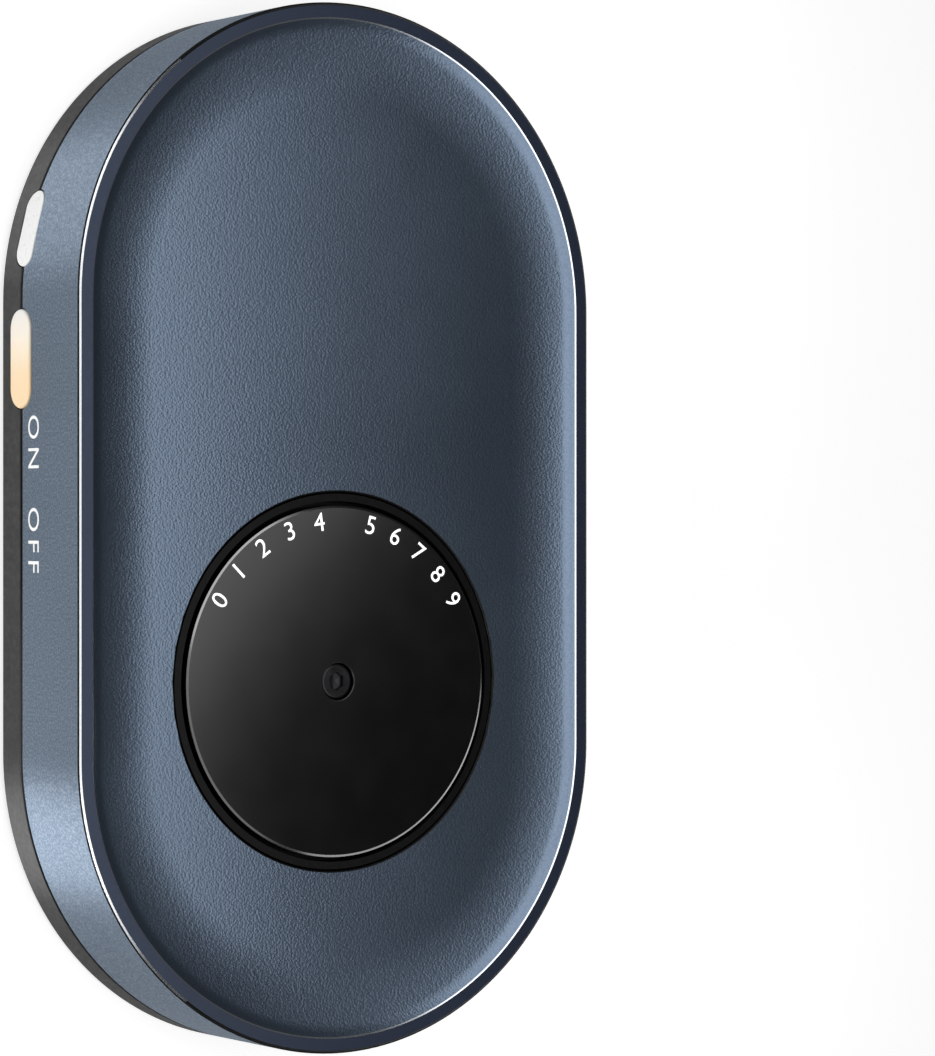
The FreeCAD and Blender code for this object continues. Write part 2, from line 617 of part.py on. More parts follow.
def make_dish_tool():
    upright = FreeCAD.Rotation(Vector(1, 0, 0), 90)
    trough_section = doc.addObject("Sketcher::SketchObject", "TroughSection")
    trough_section.Placement.Rotation = upright
    dish_outline(trough_section, True)
    trough = doc.addObject("Part::Extrusion", "DishTrough")
    trough.Base = trough_section
    trough.Dir = Vector(0, 1, 0)
    trough.Solid = True
    trough.Symmetric = True
    trough.setExpression("LengthFwd", "2 * Places.end_centre")
    bowls = []
    for mark, sign in (("Far", ""), ("Near", "-")):
        section = doc.addObject("Sketcher::SketchObject", "BowlSection" + mark)
        section.Placement.Rotation = upright
        section.setExpression("Placement.Base.y", "%sPlaces.end_centre" % sign)
        dish_outline(section, False)
        bowl = doc.addObject("Part::Revolution", "DishBowl" + mark)
        bowl.Source = section
        bowl.Axis = Vector(0, 0, 1)
        bowl.setExpression("Base.y", "%sPlaces.end_centre" % sign)
        bowl.Angle = 360
        bowl.Solid = True
        bowls.append(bowl)
    return join("DishTool", [trough] + bowls)


shell_body = make_shell()
shell_openings = join("ShellOpenings", [make_dish_tool(), inlet_tool, button_slot, lens_tool])
finish(cut("TopShell", shell_body, shell_openings), "top_shell")

# ---------------------------------------------------------------- rubber feet

foot_pieces = []
for mark, (x, y) in enumerate(feet):
    tread = doc.addObject("Part::Cone", "FootTread%d" % mark)
    tread.setExpression("Radius1", "Sizes.foot_diameter / 2 - Sizes.foot_chamfer")
    tread.setExpression("Radius2", "Sizes.foot_diameter / 2")
    tread.setExpression("Height", "Sizes.foot_chamfer")
    place_at(tread, x, y)
    pile = cylinder("FootPile%d" % mark, "Sizes.foot_diameter / 2",
                    "Sizes.foot_proud + Sizes.foot_seat - Sizes.foot_chamfer", x, y, "Sizes.foot_chamfer")
    foot_pieces += [tread, pile]
finish(join("RubberFeet", foot_pieces), "rubber_feet")

screws("case_screws", case_columns, "Places.head_top",
       "Places.base_top - Places.head_top + Sizes.thread_grip", "Sizes.case_screw")
screws("mechanism_screws", mechanism_posts, "Places.head_top",
       "Places.plate_top - Places.head_top + Sizes.thread_grip", "Sizes.case_screw")


# ---------------------------------------------------------------- mechanism plates

def plate_outline(body, name, height):
    """Round flange under the well joined to a square wing under the gears."""
    disc = new_sketch(body, name + "Disc", height)
    draw_circle(disc, *spindle, "Places.well_radius")
    pad(body, disc, "Sizes.plate_thickness")
    wing = new_sketch(body, name + "Wing", height)
    draw_box(wing, "Places.plate_left", "Places.plate_right", "Places.spindle_y", "Places.plate_far")
    pad(body, wing, "Sizes.plate_thickness")


def make_well():
    body = new_body("TurntableWell")
    plate_outline(body, "Well", "Places.well_under")
    ring = new_sketch(body, "WellRing", "Places.well_top")
    draw_circle(ring, *spindle, "Places.ring_outer")
    draw_circle(ring, *spindle, "Places.ring_inner")
    pad(body, ring, "Places.dish_floor - Sizes.well_ring_drop - Places.well_top")
    posts = new_sketch(body, "WellPosts", "Places.plate_top")
    for x, y in mechanism_posts:
        draw_circle(posts, x, y, "Places.post_radius")
    pad(body, posts, "Places.well_under - Places.plate_top")
    pilots = new_sketch(body, "WellPilots", "Places.plate_top")
    for x, y in mechanism_posts:
        draw_circle(pilots, x, y, "Sizes.case_screw / 2")
    pocket(body, pilots, "Sizes.thread_grip + Sizes.pilot_spare")
    bearing = new_sketch(body, "WellBearing", "Places.well_under")
    draw_circle(bearing, *spindle, "Places.bush_radius")
    pocket(body, bearing, "Sizes.plate_thickness")
    pins = new_sketch(body, "WellPins", "Places.well_under")
    for x, y in (gear_one, gear_two):
        draw_circle(pins, x, y, "Places.pin_radius")
    pocket(body, pins, "Sizes.plate_thickness / 2")
    return finish(body, "turntable_well")


def make_plate():
    body = new_body("MechanismPlate")
    plate_outline(body, "Plate", "Places.plate_under")
    holes = new_sketch(body, "PlateHoles", "Places.plate_under")
    draw_circle(holes, *motor, "Places.motor_radius + Sizes.motor_clearance")
    draw_circle(holes, *spindle, "Places.bush_radius")
    for x, y in (gear_one, gear_two):
        draw_circle(holes, x, y, "Places.pin_radius")
    for x, y in mechanism_posts:
        draw_circle(holes, x, y, "Sizes.case_screw / 2 + Sizes.screw_clearance")
    for x, y in motor_ears:
        draw_circle(holes, x, y, "Sizes.small_screw / 2")
    pocket(body, holes, "Sizes.plate_thickness")
    return finish(body, "mechanism_plate")


make_well()
make_plate()

# ---------------------------------------------------------------- spindle and bushes


def bush(label, flange_low, sleeve_low):
    """Flanged bronze bush on the spindle line."""
    name = label.title().replace("_", "")
    flange = cylinder(name + "Flange", "Places.bush_rim", "Sizes.bush_flange", *spindle, flange_low)
    sleeve = cylinder(name + "Sleeve", "Places.bush_radius", "Sizes.plate_thickness",
                      *spindle, sleeve_low)
    bore = cylinder(name + "Bore", "Places.bush_bore", "Places.rim_top", *spindle)
    finish(cut(name, join(name + "Blank", [flange, sleeve]), bore), label)


bush("lower_bush", "Places.plate_top", "Places.plate_under")
bush("upper_bush", "Places.well_under - Sizes.bush_flange", "Places.well_under")

shaft_low = "Places.thrust_top + Sizes.end_gap / 2"
shaft = cylinder("SpindleShaft", "Places.spindle_radius", "Places.disc_under - (%s)" % shaft_low,
                 *spindle, shaft_low)
flange = cylinder("SpindleFlange", "Sizes.flange_diameter / 2", "Sizes.flange_thickness",
                  *spindle, "Places.flange_under")
tap = cylinder("SpindleTap", "Sizes.machine_screw / 2", "Sizes.thread_grip", *spindle,
               "Places.disc_under - Sizes.thread_grip")
dowel_bores = join("SpindleDowelBores", [
    cylinder("SpindleDowelBore%d" % mark, "Sizes.drive_pin_diameter / 2", "Sizes.flange_thickness",
             "%sSizes.drive_pin_spread / 2" % sign, "Places.spindle_y", "Places.flange_under")
    for mark, sign in enumerate(("", "-"))])
finish(cut("Spindle", join("SpindleBlank", [shaft, flange]),
           join("SpindleCuts", [tap, dowel_bores])), "spindle")

finish(join("DrivePins", [
    cylinder("DrivePin%d" % mark, "Sizes.drive_pin_diameter / 2", "Sizes.drive_pin_length",
             "%sSizes.drive_pin_spread / 2" % sign, "Places.spindle_y", "Places.flange_under")
    for mark, sign in enumerate(("", "-"))]), "drive_pins")


# ---------------------------------------------------------------- turntable disc

def make_disc():
    body = new_body("TurntableDisc")
    section = new_sketch(body, "DiscSection", "0", "XZ_Plane")
    rim, low, top = "Places.disc_radius", "Places.disc_under", "Places.disc_top"
    hole = "Sizes.machine_screw / 2 + Sizes.screw_clearance"
    sink = "Sizes.machine_screw * Sizes.head_ratio / 2 + Sizes.screw_clearance"
    seat = "Places.disc_top - Sizes.head_height - Sizes.disc_screw_sink"
    draw_outline(section, [
        (hole, low), (rim, low), (rim, "%s - Sizes.disc_round" % top, ("Sizes.disc_round", -1)),
        ("%s - Sizes.disc_round" % rim, top), (sink, top), (sink, seat), (hole, seat)])
    solid = body.newObject("PartDesign::Revolution", "DiscRevolution")
    solid.Profile = section
    solid.ReferenceAxis = (section, ["V_Axis"])
    solid.Angle = 360
    dowels = new_sketch(body, "DiscDowels", "Places.disc_under")
    for sign in ("", "-"):
        draw_circle(dowels, "%sSizes.drive_pin_spread / 2" % sign, "0", "Sizes.drive_pin_diameter / 2")
    pocket(body, dowels, "Sizes.drive_pin_length - Sizes.flange_thickness + Sizes.end_gap")
    place_at(body, *spindle)
    return finish(body, "turntable_disc")


make_disc()

screw_seat = "Places.disc_top - Sizes.head_height - Sizes.disc_screw_sink"
screw_head = cylinder("DiscScrewHead", "Sizes.machine_screw * Sizes.head_ratio / 2", "Sizes.head_height",
                      *spindle, screw_seat)
screw_shank = cylinder("DiscScrewShank", "Sizes.machine_screw / 2",
                       "%s - Places.disc_under + Sizes.thread_grip - Sizes.pilot_spare" % screw_seat,
                       *spindle, "Places.disc_under - Sizes.thread_grip + Sizes.pilot_spare")
socket = doc.addObject("Part::Prism", "DiscScrewSocket")
socket.Polygon = 6
socket.setExpression("Circumradius", "Sizes.machine_screw / 2")
socket.setExpression("Height", "Sizes.socket_depth")
place_at(socket, *spindle, "%s + Sizes.head_height - Sizes.socket_depth" % screw_seat)
finish(cut("DiscScrew", join("DiscScrewBlank", [screw_head, screw_shank]), socket), "turntable_screw")


# ---------------------------------------------------------------- gears

pressure = math.radians(number("Sizes.pressure_angle"))


def involute(angle):
    return math.tan(angle) - angle


def gear_face(teeth, addendum):
    """Spur gear outline about the origin, with a tooth centred on +X.
    Each flank is an arc through three points of its involute, and below the base
    circle it runs straight down to the root."""
    module, slack = number("Sizes.gear_module"), number("Sizes.gear_slack")
    pitch = module * teeth / 2
    base = pitch * math.cos(pressure)
    tip = pitch + addendum * module
    root = pitch - number("Sizes.root_depth") * module
    half = (math.pi * module / 2 - slack / 2) / (2 * pitch) + involute(pressure)

    def polar(radius, angle):
        return Vector(radius * math.cos(angle), radius * math.sin(angle), 0)

    def flank(radius):
        return half - involute(math.acos(min(1, base / radius)))

    start = max(base, root)
    middle = (start + tip) / 2
    step = 2 * math.pi / teeth
    edges = []
    for tooth in range(teeth):
        at = tooth * step
        foot_down, foot_up = at - flank(start), at + flank(start)
        tip_down, tip_up = polar(tip, at - flank(tip)), polar(tip, at + flank(tip))
        side_down, side_up = polar(middle, at - flank(middle)), polar(middle, at + flank(middle))
        if root < base:
            edges.append(Part.makeLine(polar(root, foot_down), polar(start, foot_down)))
        edges.append(Part.Arc(polar(start, foot_down), side_down, tip_down).toShape())
        edges.append(Part.Arc(tip_down, polar(tip, at), tip_up).toShape())
        edges.append(Part.Arc(tip_up, side_up, polar(start, foot_up)).toShape())
        if root < base:
            edges.append(Part.makeLine(polar(start, foot_up), polar(root, foot_up)))
        edges.append(Part.Arc(polar(root, foot_up), polar(root, at + step / 2),
                              polar(root, foot_down + step)).toShape())
    return Part.Face(Part.Wire(edges))


def toothed(teeth, addendum, low, high):
    face = gear_face(int(number(teeth)), number(addendum))
    face.translate(Vector(0, 0, number(low)))
    return face.extrude(Vector(0, 0, number(high) - number(low)))


def collar(radius, low, high):
    height = number(high) - number(low)
    return Part.makeCylinder(number(radius), height, Vector(0, 0, number(low)))


def gear_part(name, label, solids, bore, centre, turn):
    """Fuse the toothed rings and collars, drill the bore, then set the gear on its pin."""
    shape = solids[0].multiFuse(solids[1:]) if len(solids) > 1 else solids[0]
    drill = Part.makeCylinder(number(bore), number("Places.rim_top"))
    item = doc.addObject("Part::Feature", name)
    item.Shape = shape.cut(drill)
    item.Placement = FreeCAD.Placement(Vector(number(centre[0]), number(centre[1]), 0),
                                       FreeCAD.Rotation(Vector(0, 0, 1), turn))
    finish(item, label)


def mesh_turn(heading, turn, teeth, next_teeth):
    """Turn that puts the next gear's tooth gap on this gear's tooth, along a heading."""
    part_way = (heading - turn) * teeth / 360.0
    return heading + 180 + (part_way + 0.5) * 360.0 / next_teeth


pinion, wheel, output = (number("Sizes.%s_teeth" % name) for name in ("pinion", "wheel", "output"))
two_turn = mesh_turn(number("Sizes.first_angle"), 0, output, pinion)
one_turn = mesh_turn(number("Sizes.second_angle"), two_turn, wheel, pinion)
motor_turn = mesh_turn(number("Sizes.motor_angle"), one_turn, wheel, pinion)
top_a = "Places.layer_a + Places.gear_width"
top_b = "Places.layer_b + Places.gear_width"
top_c = "Places.layer_c + Places.gear_width"
hub_top = "Places.well_under - Sizes.end_gap"
hub_low = "Places.plate_top + Sizes.end_gap"
pin_bore = "Places.pin_radius + Sizes.bore_clearance"

gear_part("OutputGear", "output_gear", [
    toothed("Sizes.output_teeth", "Sizes.wheel_addendum", "Places.layer_a", top_a),
    collar("Places.bush_radius", "Places.layer_a", "Places.well_under - Sizes.bush_flange - Sizes.end_gap")],
    "Places.spindle_radius", spindle, 0)
gear_part("ReductionGearTwo", "reduction_gear_2", [
    toothed("Sizes.pinion_teeth", "Sizes.pinion_addendum",
            "Places.layer_a - Sizes.end_gap", "Places.layer_b"),
    toothed("Sizes.wheel_teeth", "Sizes.wheel_addendum", "Places.layer_b", top_b),
    collar("Places.hub_radius", hub_low, hub_top)],
    pin_bore, gear_two, two_turn)
gear_part("ReductionGearOne", "reduction_gear_1", [
    toothed("Sizes.pinion_teeth", "Sizes.pinion_addendum",
            "Places.layer_b - Sizes.end_gap", "Places.layer_c"),
    toothed("Sizes.wheel_teeth", "Sizes.wheel_addendum", "Places.layer_c", top_c),
    collar("Places.hub_radius", hub_low, hub_top)],
    pin_bore, gear_one, one_turn)
gear_part("MotorPinion", "motor_pinion", [
    toothed("Sizes.pinion_teeth", "Sizes.pinion_addendum",
            "Places.motor_top + Sizes.motor_nose_height + Sizes.end_gap",
            "%s + Sizes.end_gap" % top_c)],
    "Sizes.motor_shaft / 2", motor, motor_turn)

for label, centre in (("gear_pin_1", gear_one), ("gear_pin_2", gear_two)):
    finish(cylinder(label.title().replace("_", ""), "Places.pin_radius",
                    "Places.well_under + Sizes.plate_thickness / 2 - Places.plate_under",
                    *centre, "Places.plate_under"), label)

# ---------------------------------------------------------------- motor

can_low = "Places.motor_under + Sizes.motor_cap"
can = cylinder("MotorBarrel", "Places.motor_radius", "Places.motor_top - (%s)" % can_low, *motor, can_low)
nose = cylinder("MotorNose", "Sizes.motor_nose / 2", "Sizes.motor_nose_height", *motor, "Places.motor_top")
ear_bar = doc.addObject("Part::Box", "MotorEarBar")
ear_bar.setExpression("Length", "2 * Sizes.motor_ear_reach")
ear_bar.setExpression("Width", "2 * Sizes.motor_ear_radius")
ear_bar.setExpression("Height", "Sizes.motor_ear_thickness")
# turned about its own corner, which is set back from the motor's axis
place_at(ear_bar,
         "Places.motor_x - Places.ear_x + Sizes.motor_ear_radius * sin(Sizes.motor_ear_angle)",
         "Places.motor_y - Places.ear_y - Sizes.motor_ear_radius * cos(Sizes.motor_ear_angle)",
         "Places.plate_top", "Sizes.motor_ear_angle")
ear_ends = [cylinder("MotorEar%d" % mark, "Sizes.motor_ear_radius", "Sizes.motor_ear_thickness", x, y,
                     "Places.plate_top") for mark, (x, y) in enumerate(motor_ears)]
ear_holes = [cylinder("MotorEarHole%d" % mark, "Sizes.small_screw / 2 + Sizes.screw_clearance",
                      "Sizes.motor_ear_thickness", x, y, "Places.plate_top")
             for mark, (x, y) in enumerate(motor_ears)]
motor_bore = cylinder("MotorBore", "Sizes.motor_shaft / 2 + Sizes.run_clearance",
                      "Places.motor_top + Sizes.motor_nose_height - (%s)" % can_low, *motor, can_low)
finish(cut("MotorCan", join("MotorBlank", [can, nose, ear_bar] + ear_ends),
           join("MotorHoles", ear_holes + [motor_bore])), "motor_can")

finish(cylinder("MotorEndCap", "Places.motor_radius - Sizes.motor_cap_inset", "Sizes.motor_cap",
                *motor, "Places.motor_under"), "motor_end_cap")
finish(cylinder("MotorShaft", "Sizes.motor_shaft / 2",
                "%s + Sizes.shaft_proud - (%s)" % (top_c, can_low), *motor, can_low), "motor_shaft")


# ---------------------------------------------------------------- power button and switch

def make_button():
    face = pill("ButtonFace", "Sizes.button_length", "Sizes.button_height",
                "Places.button_face", "Places.ear_back")
    doc.recompute()
    rounded = doc.addObject("Part::Fillet", "ButtonFaceRound")
    rounded.Base = face
    radius = number("Sizes.button_round")
    front = number("Places.button_face")
    rounded.Edges = [(mark, radius, radius) for mark, edge in enumerate(face.Shape.Edges, 1)
                     if abs(edge.BoundBox.XMax - front) < 1e-4]
    ears = block("ButtonEars", "Sizes.button_flange", "Sizes.button_length + 2 * Sizes.button_ear",
                 "Sizes.button_height - Sizes.slot_clearance",
                 "Places.ear_back + Sizes.button_flange / 2", "0",
                 "Places.seam - (Sizes.button_height - Sizes.slot_clearance) / 2")
    stem = block("ButtonStem", "Places.plunger_face - Places.ear_front", "Sizes.stem_width",
                 "Sizes.stem_height", "(Places.plunger_face + Places.ear_front) / 2", "0",
                 "Places.seam - Sizes.stem_height / 2")
    button = join("PowerButton", [rounded, ears, stem])
    place_at(button, y="Places.button_place")
    finish(button, "power_button")


make_button()

finish(block("SwitchPlunger", "Sizes.plunger_length", "Sizes.plunger_width", "Sizes.plunger_height",
             "Places.plunger_face + Sizes.plunger_length / 2", "Places.button_place",
             "Places.seam - Sizes.plunger_height / 2"), "switch_plunger")
switch_case = block("SwitchCase", "Sizes.switch_length", "Sizes.switch_width", "Sizes.switch_height",
                    "Places.switch_face + Sizes.switch_length / 2", "Places.button_place",
                    "Places.board_under - Sizes.switch_height")
bore_depth = "(Sizes.plunger_length + Sizes.plunger_clearance)"
switch_bore = block("SwitchBore", bore_depth, "Sizes.plunger_width + 2 * Sizes.plunger_clearance",
                    "Sizes.plunger_height + 2 * Sizes.plunger_clearance",
                    "Places.switch_face + %s / 2" % bore_depth, "Places.button_place",
                    "Places.seam - Sizes.plunger_height / 2 - Sizes.plunger_clearance")
finish(cut("SwitchBody", switch_case, switch_bore), "switch_body")

# ---------------------------------------------------------------- status light

lens_seat = "Places.inner_radius - Sizes.lens_seat_gap"
lens_face = doc.addObject("Part::Common", "LensFace")
lens_face.Base = pill("LensBar", "Sizes.lens_length", "Sizes.lens_height", "Places.lip_radius",
                      "Places.end_radius + Sizes.wall")
lens_face.Tool = cylinder("LensSkin", "Places.end_radius + Sizes.lens_proud", "Places.rim_top")
lens_flange = doc.addObject("Part::Common", "LensFlange")
lens_flange.Base = pill("LensBack", "Sizes.lens_length + 2 * Sizes.lens_flange",
                        "Sizes.lens_height + Sizes.lens_flange",
                        "Places.tray_radius - Sizes.wall", lens_seat)
lens_flange.Tool = cylinder("LensFlangeSkin", lens_seat, "Places.rim_top")
lens_hollow = cylinder("LensHollow", "Places.tray_radius - Sizes.lens_seat_gap",
                       "Places.rim_top")
lens = cut("LightLens", join("LensBlank", [lens_face, lens_flange]), lens_hollow)
place_at(lens, y="Places.end_centre", turn="Places.lens_turn")
finish(lens, "light_lens")

led_face = "Places.tray_radius - Sizes.led_gap"
led_case = block("LedCase", "Sizes.led_depth", "Sizes.led_length", "Sizes.led_height",
                 "%s - Sizes.led_depth / 2" % led_face, "0", "Places.board_under - Sizes.led_height")
led_window = block("LedWindow", "Sizes.led_window", "Sizes.led_length - 2 * Sizes.led_window",
                   "Sizes.led_height - 2 * Sizes.led_window", "%s + Sizes.led_window / 2" % led_face, "0",
                   "Places.board_under - Sizes.led_height + Sizes.led_window")
led = join("StatusLed", [led_case, led_window])
place_at(led, y="Places.end_centre", turn="Places.lens_turn")
finish(led, "status_led")


# ---------------------------------------------------------------- control board

def make_board():
    body = new_body("ControlBoard")
    outline = new_sketch(body, "BoardOutline", "Places.board_under")
    wide, tongue = "Sizes.board_half_width", "Sizes.board_tongue"
    draw_outline(outline, [
        ("Places.board_left", "Places.board_arm_back"),
        ("Places.board_arm_right", "Places.board_arm_back"),
        ("Places.board_arm_right", "Places.board_back"), (wide, "Places.board_back"),
        (wide, "Places.board_front"), (tongue, "Places.board_front"),
        (tongue, "Places.board_end"), ("-" + tongue, "Places.board_end"),
        ("-" + tongue, "Places.board_front"), ("-" + wide, "Places.board_front"),
        ("Places.board_left", "Places.board_back + Sizes.board_corner")])
    pad(body, outline, "Sizes.board_thickness")
    holes = new_sketch(body, "BoardHoles", "Places.board_under")
    for x, y in board_screws:
        draw_circle(holes, x, y, "Sizes.small_screw / 2 + Sizes.screw_clearance")
    pocket(body, holes, "Sizes.board_thickness")
    return finish(body, "control_board")


make_board()
screws("board_screws", board_screws, "Places.board_under", "Sizes.board_thickness + Sizes.board_grip",
       "Sizes.small_screw")

# ---------------------------------------------------------------- micro-USB inlet

usb_middle = "Places.usb_end - Sizes.usb_depth / 2"
usb_blank = block("UsbBlank", "Sizes.usb_width", "Sizes.usb_depth", "Sizes.usb_height", "0", usb_middle,
                  "Places.usb_low")
usb_hollow = block("UsbHollow", "Sizes.usb_width - 2 * Sizes.usb_sheet", "Sizes.usb_depth",
                   "Sizes.usb_height - 2 * Sizes.usb_sheet", "0", "%s + Sizes.usb_back" % usb_middle,
                   "Places.usb_low + Sizes.usb_sheet")
finish(cut("UsbSocket", usb_blank, usb_hollow), "usb_socket")
finish(block("UsbTongue", "Sizes.usb_tongue_width", "Sizes.usb_tongue_length",
             "Sizes.usb_tongue_thickness", "0",
             "Places.usb_back + Sizes.usb_back + Sizes.usb_tongue_length / 2",
             "Places.usb_low + (Sizes.usb_height - Sizes.usb_tongue_thickness) / 2"), "usb_tongue")

# ---------------------------------------------------------------- parts on the board


def under_board(name, key, row=0):
    """A component whose top face is soldered to the underside of the board."""
    size = ["Sizes.%s_%s" % (key, side) for side in ("length", "width", "height")]
    edge = next(place for place, group in component_groups.items() if key in group)
    across = "Sizes.%s_across + %d * Sizes.chip_pitch * Sizes.%s_length" % (key, row, key)
    return block(name, *size, across, "%s + Sizes.%s_along" % (edge, key),
                 "Places.board_under - Sizes.%s_height" % key)


def chip_row(label, key):
    """Equal chips side by side in one node, a pitch of so many chip lengths apart."""
    count = int(number("Sizes.%s_count" % key))
    chips = [under_board("%s%d" % (key.title(), row), key, row) for row in range(count)]
    finish(join(label.title().replace("_", ""), chips), label)


for label in ("microcontroller", "motor_driver", "crystal", "lead_header"):
    finish(under_board(label.title().replace("_", ""), label), label)
finish(cylinder("StorageCapacitor", "Sizes.capacitor_diameter / 2", "Sizes.capacitor_height",
                "Sizes.capacitor_across", "Places.board_back + Sizes.capacitor_along",
                "Places.board_under - Sizes.capacitor_height"), "storage_capacitor")
chip_row("chip_resistors", "resistor")
chip_row("chip_capacitors", "ceramic")

# ---------------------------------------------------------------- motor terminals and leads

cap_radius = "(Places.motor_radius - Sizes.motor_cap_inset)"
terminal_low = "Places.motor_under + (Sizes.motor_cap - Sizes.terminal_sheet) / 2"
terminal_end = "Places.motor_y + Places.motor_radius + Sizes.terminal_length / 2"
terminal_tabs = [block("TerminalTab%d" % mark, "Sizes.terminal_width", "Sizes.terminal_length",
                       "Sizes.terminal_sheet",
                       "Places.motor_x %s Sizes.terminal_spread / 2" % sign,
                       "%s - Sizes.terminal_length / 2" % terminal_end, terminal_low)
                 for mark, sign in enumerate("+-")]
terminal_trim = cylinder("TerminalTrim", cap_radius, "Sizes.motor_cap", *motor, "Places.motor_under")
finish(cut("MotorTerminals", join("TerminalTabs", terminal_tabs), terminal_trim), "motor_terminals")


def lead_wire(points):
    """Straight runs joined by tangent arcs as large as the runs allow."""
    edges = []
    at = points[0]
    for before, corner, after in zip(points, points[1:], points[2:]):
        inward, outward = corner - before, after - corner
        half = inward.getAngle(outward) / 2
        setback = 0.45 * min(inward.Length, outward.Length)
        enter = corner - inward.normalize() * setback
        leave = corner + outward.normalize() * setback
        radius = setback / math.tan(half)
        centre = corner + (outward - inward).normalize() * (radius / math.cos(half))
        crown = centre + (corner - centre).normalize() * radius
        edges += [Part.makeLine(at, enter), Part.Arc(enter, crown, leave).toShape()]
        at = leave
        print("lead arc radius %.2f" % radius)
    edges.append(Part.makeLine(at, points[-1]))
    return Part.Wire(edges)


def make_leads():
    """Two leads from the ends of the terminals up to the back face of the header."""
    radius = number("Sizes.lead_diameter / 2")
    start = Vector(number("Places.motor_x"), number(terminal_end),
                   number(terminal_low + " + Sizes.terminal_sheet / 2"))
    end = Vector(number("Sizes.lead_header_across"),
                 number("Places.board_back + Sizes.lead_header_along - Sizes.lead_header_width / 2"),
                 number("Places.board_under - Sizes.lead_entry"))
    third = Vector(0, (end.y - start.y) / 3, 0)
    pieces = []
    for side in (-1, 1):
        out = Vector(side * number("Sizes.terminal_spread / 2"), 0, 0)
        close = Vector(side * number("Sizes.lead_pitch / 2"), 0, 0)
        path = lead_wire([start + out, start + out + third, end + close - third, end + close])
        section = Part.Wire(Part.makeCircle(radius, start + out, Vector(0, 1, 0)))
        lead = path.makePipeShell([section], True, False)
        share = lead.Volume / (math.pi * radius ** 2 * path.Length)
        print("lead volume over section times length %.4f" % share)
        pieces.append(lead)
    item = doc.addObject("Part::Feature", "MotorLeads")
    item.Shape = Part.makeCompound(pieces)
    finish(item, "motor_leads")


make_leads()
screws("motor_screws", motor_ears, "Places.plate_top + Sizes.motor_ear_thickness",
       "Sizes.motor_ear_thickness + Sizes.plate_thickness", "Sizes.small_screw", "down")

# ---------------------------------------------------------------- check and write

doc.recompute()
for item in doc.Objects:
    if "Invalid" in item.State or "Error" in item.State:
        raise RuntimeError("%s failed to build: %s" % (item.Name, item.State))
os.makedirs("parts", exist_ok=True)
for item in parts:
    shape = item.Shape
    if shape.isNull() or not shape.isValid():
        raise RuntimeError("%s has no valid shape" % item.Label)
    shape.exportStep("parts/%s.step" % item.Label)
    print("%-20s %2d solids %10.2f mm3" % (item.Label, len(shape.Solids), shape.Volume))
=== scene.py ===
import json
import math
import bmesh
import bpy
import numpy as np
from mathutils import Matrix, Vector


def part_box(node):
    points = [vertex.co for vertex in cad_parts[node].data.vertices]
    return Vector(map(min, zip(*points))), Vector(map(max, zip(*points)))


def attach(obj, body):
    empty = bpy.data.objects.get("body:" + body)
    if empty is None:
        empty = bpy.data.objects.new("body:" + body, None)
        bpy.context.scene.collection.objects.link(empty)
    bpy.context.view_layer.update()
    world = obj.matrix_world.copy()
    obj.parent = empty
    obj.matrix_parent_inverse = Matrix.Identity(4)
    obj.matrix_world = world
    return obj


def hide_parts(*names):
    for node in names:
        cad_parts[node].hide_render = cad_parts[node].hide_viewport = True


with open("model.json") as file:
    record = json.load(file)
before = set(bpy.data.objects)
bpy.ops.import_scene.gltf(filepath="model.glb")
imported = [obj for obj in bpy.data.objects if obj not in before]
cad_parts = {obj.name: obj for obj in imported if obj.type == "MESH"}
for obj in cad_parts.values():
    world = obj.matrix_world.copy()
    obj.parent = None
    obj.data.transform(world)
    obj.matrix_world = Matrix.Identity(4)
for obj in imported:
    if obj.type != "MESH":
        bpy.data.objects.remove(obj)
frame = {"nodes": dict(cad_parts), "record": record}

print("frame loaded:", len(frame["nodes"]), "nodes")
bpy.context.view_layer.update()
mm = 0.001
scene = bpy.context.scene


def boxOf(node):
    # lowest and highest corner of a CAD node in millimetres
    low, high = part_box(node)
    return np.array(low) / mm, np.array(high) / mm


# the case as the frame gives it; every size is in millimetres, except lamps and finishes
shellLow, shellHigh = boxOf("top_shell")
baseLow, baseHigh = boxOf("base_cover")
discLow, discHigh = boxOf("turntable_disc")
case = {
    "endRadius": shellHigh[0],
    "endCentre": shellHigh[1] - shellHigh[0],
    "wall": 2.0,
    "shellBottom": shellLow[2],
    "shellTop": shellHigh[2],
    "baseBottom": baseLow[2],
    "lipTop": baseHigh[2],
    "revealGap": 0.6,
    "edgeSoftness": 0.14,      # radius of the moulded edges at the reveal line
    "openingBand": 1.0,        # rows this near the reveal line follow the side openings
}
case["baseTop"] = case["shellBottom"] - case["revealGap"]
case["seam"] = case["shellBottom"] - case["revealGap"] / 2
spindle = (discLow[:2] + discHigh[:2]) / 2

# ------- mesh helpers


def cleanMesh(name, points, faces, faceMaterial=None):
    # points in millimetres; doubles at poles and seams are merged and the faces turned outwards
    mesh = bpy.data.meshes.new(name)
    mesh.from_pydata((np.asarray(points) * mm).tolist(), [], faces)
    if faceMaterial is not None:
        mesh.polygons.foreach_set("material_index", np.asarray(faceMaterial, dtype=np.int32))
    tidy = bmesh.new()
    tidy.from_mesh(mesh)
    bmesh.ops.remove_doubles(tidy, verts=tidy.verts, dist=0.0005 * mm)
    bmesh.ops.dissolve_degenerate(tidy, edges=tidy.edges, dist=0.0002 * mm)
    bmesh.ops.recalc_face_normals(tidy, faces=tidy.faces)
    tidy.to_mesh(mesh)
    tidy.free()
    return mesh


def makePiece(name, points, faces, body, materials, faceMaterial=None, softAngle=30):
    mesh = cleanMesh(name, points, faces, faceMaterial)
    for material in materials:
        mesh.materials.append(material)
    mesh.shade_smooth()
    mesh.set_sharp_from_angle(angle=math.radians(softAngle))
    piece = bpy.data.objects.new(name, mesh)
    scene.collection.objects.link(piece)
    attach(piece, body)
    return piece


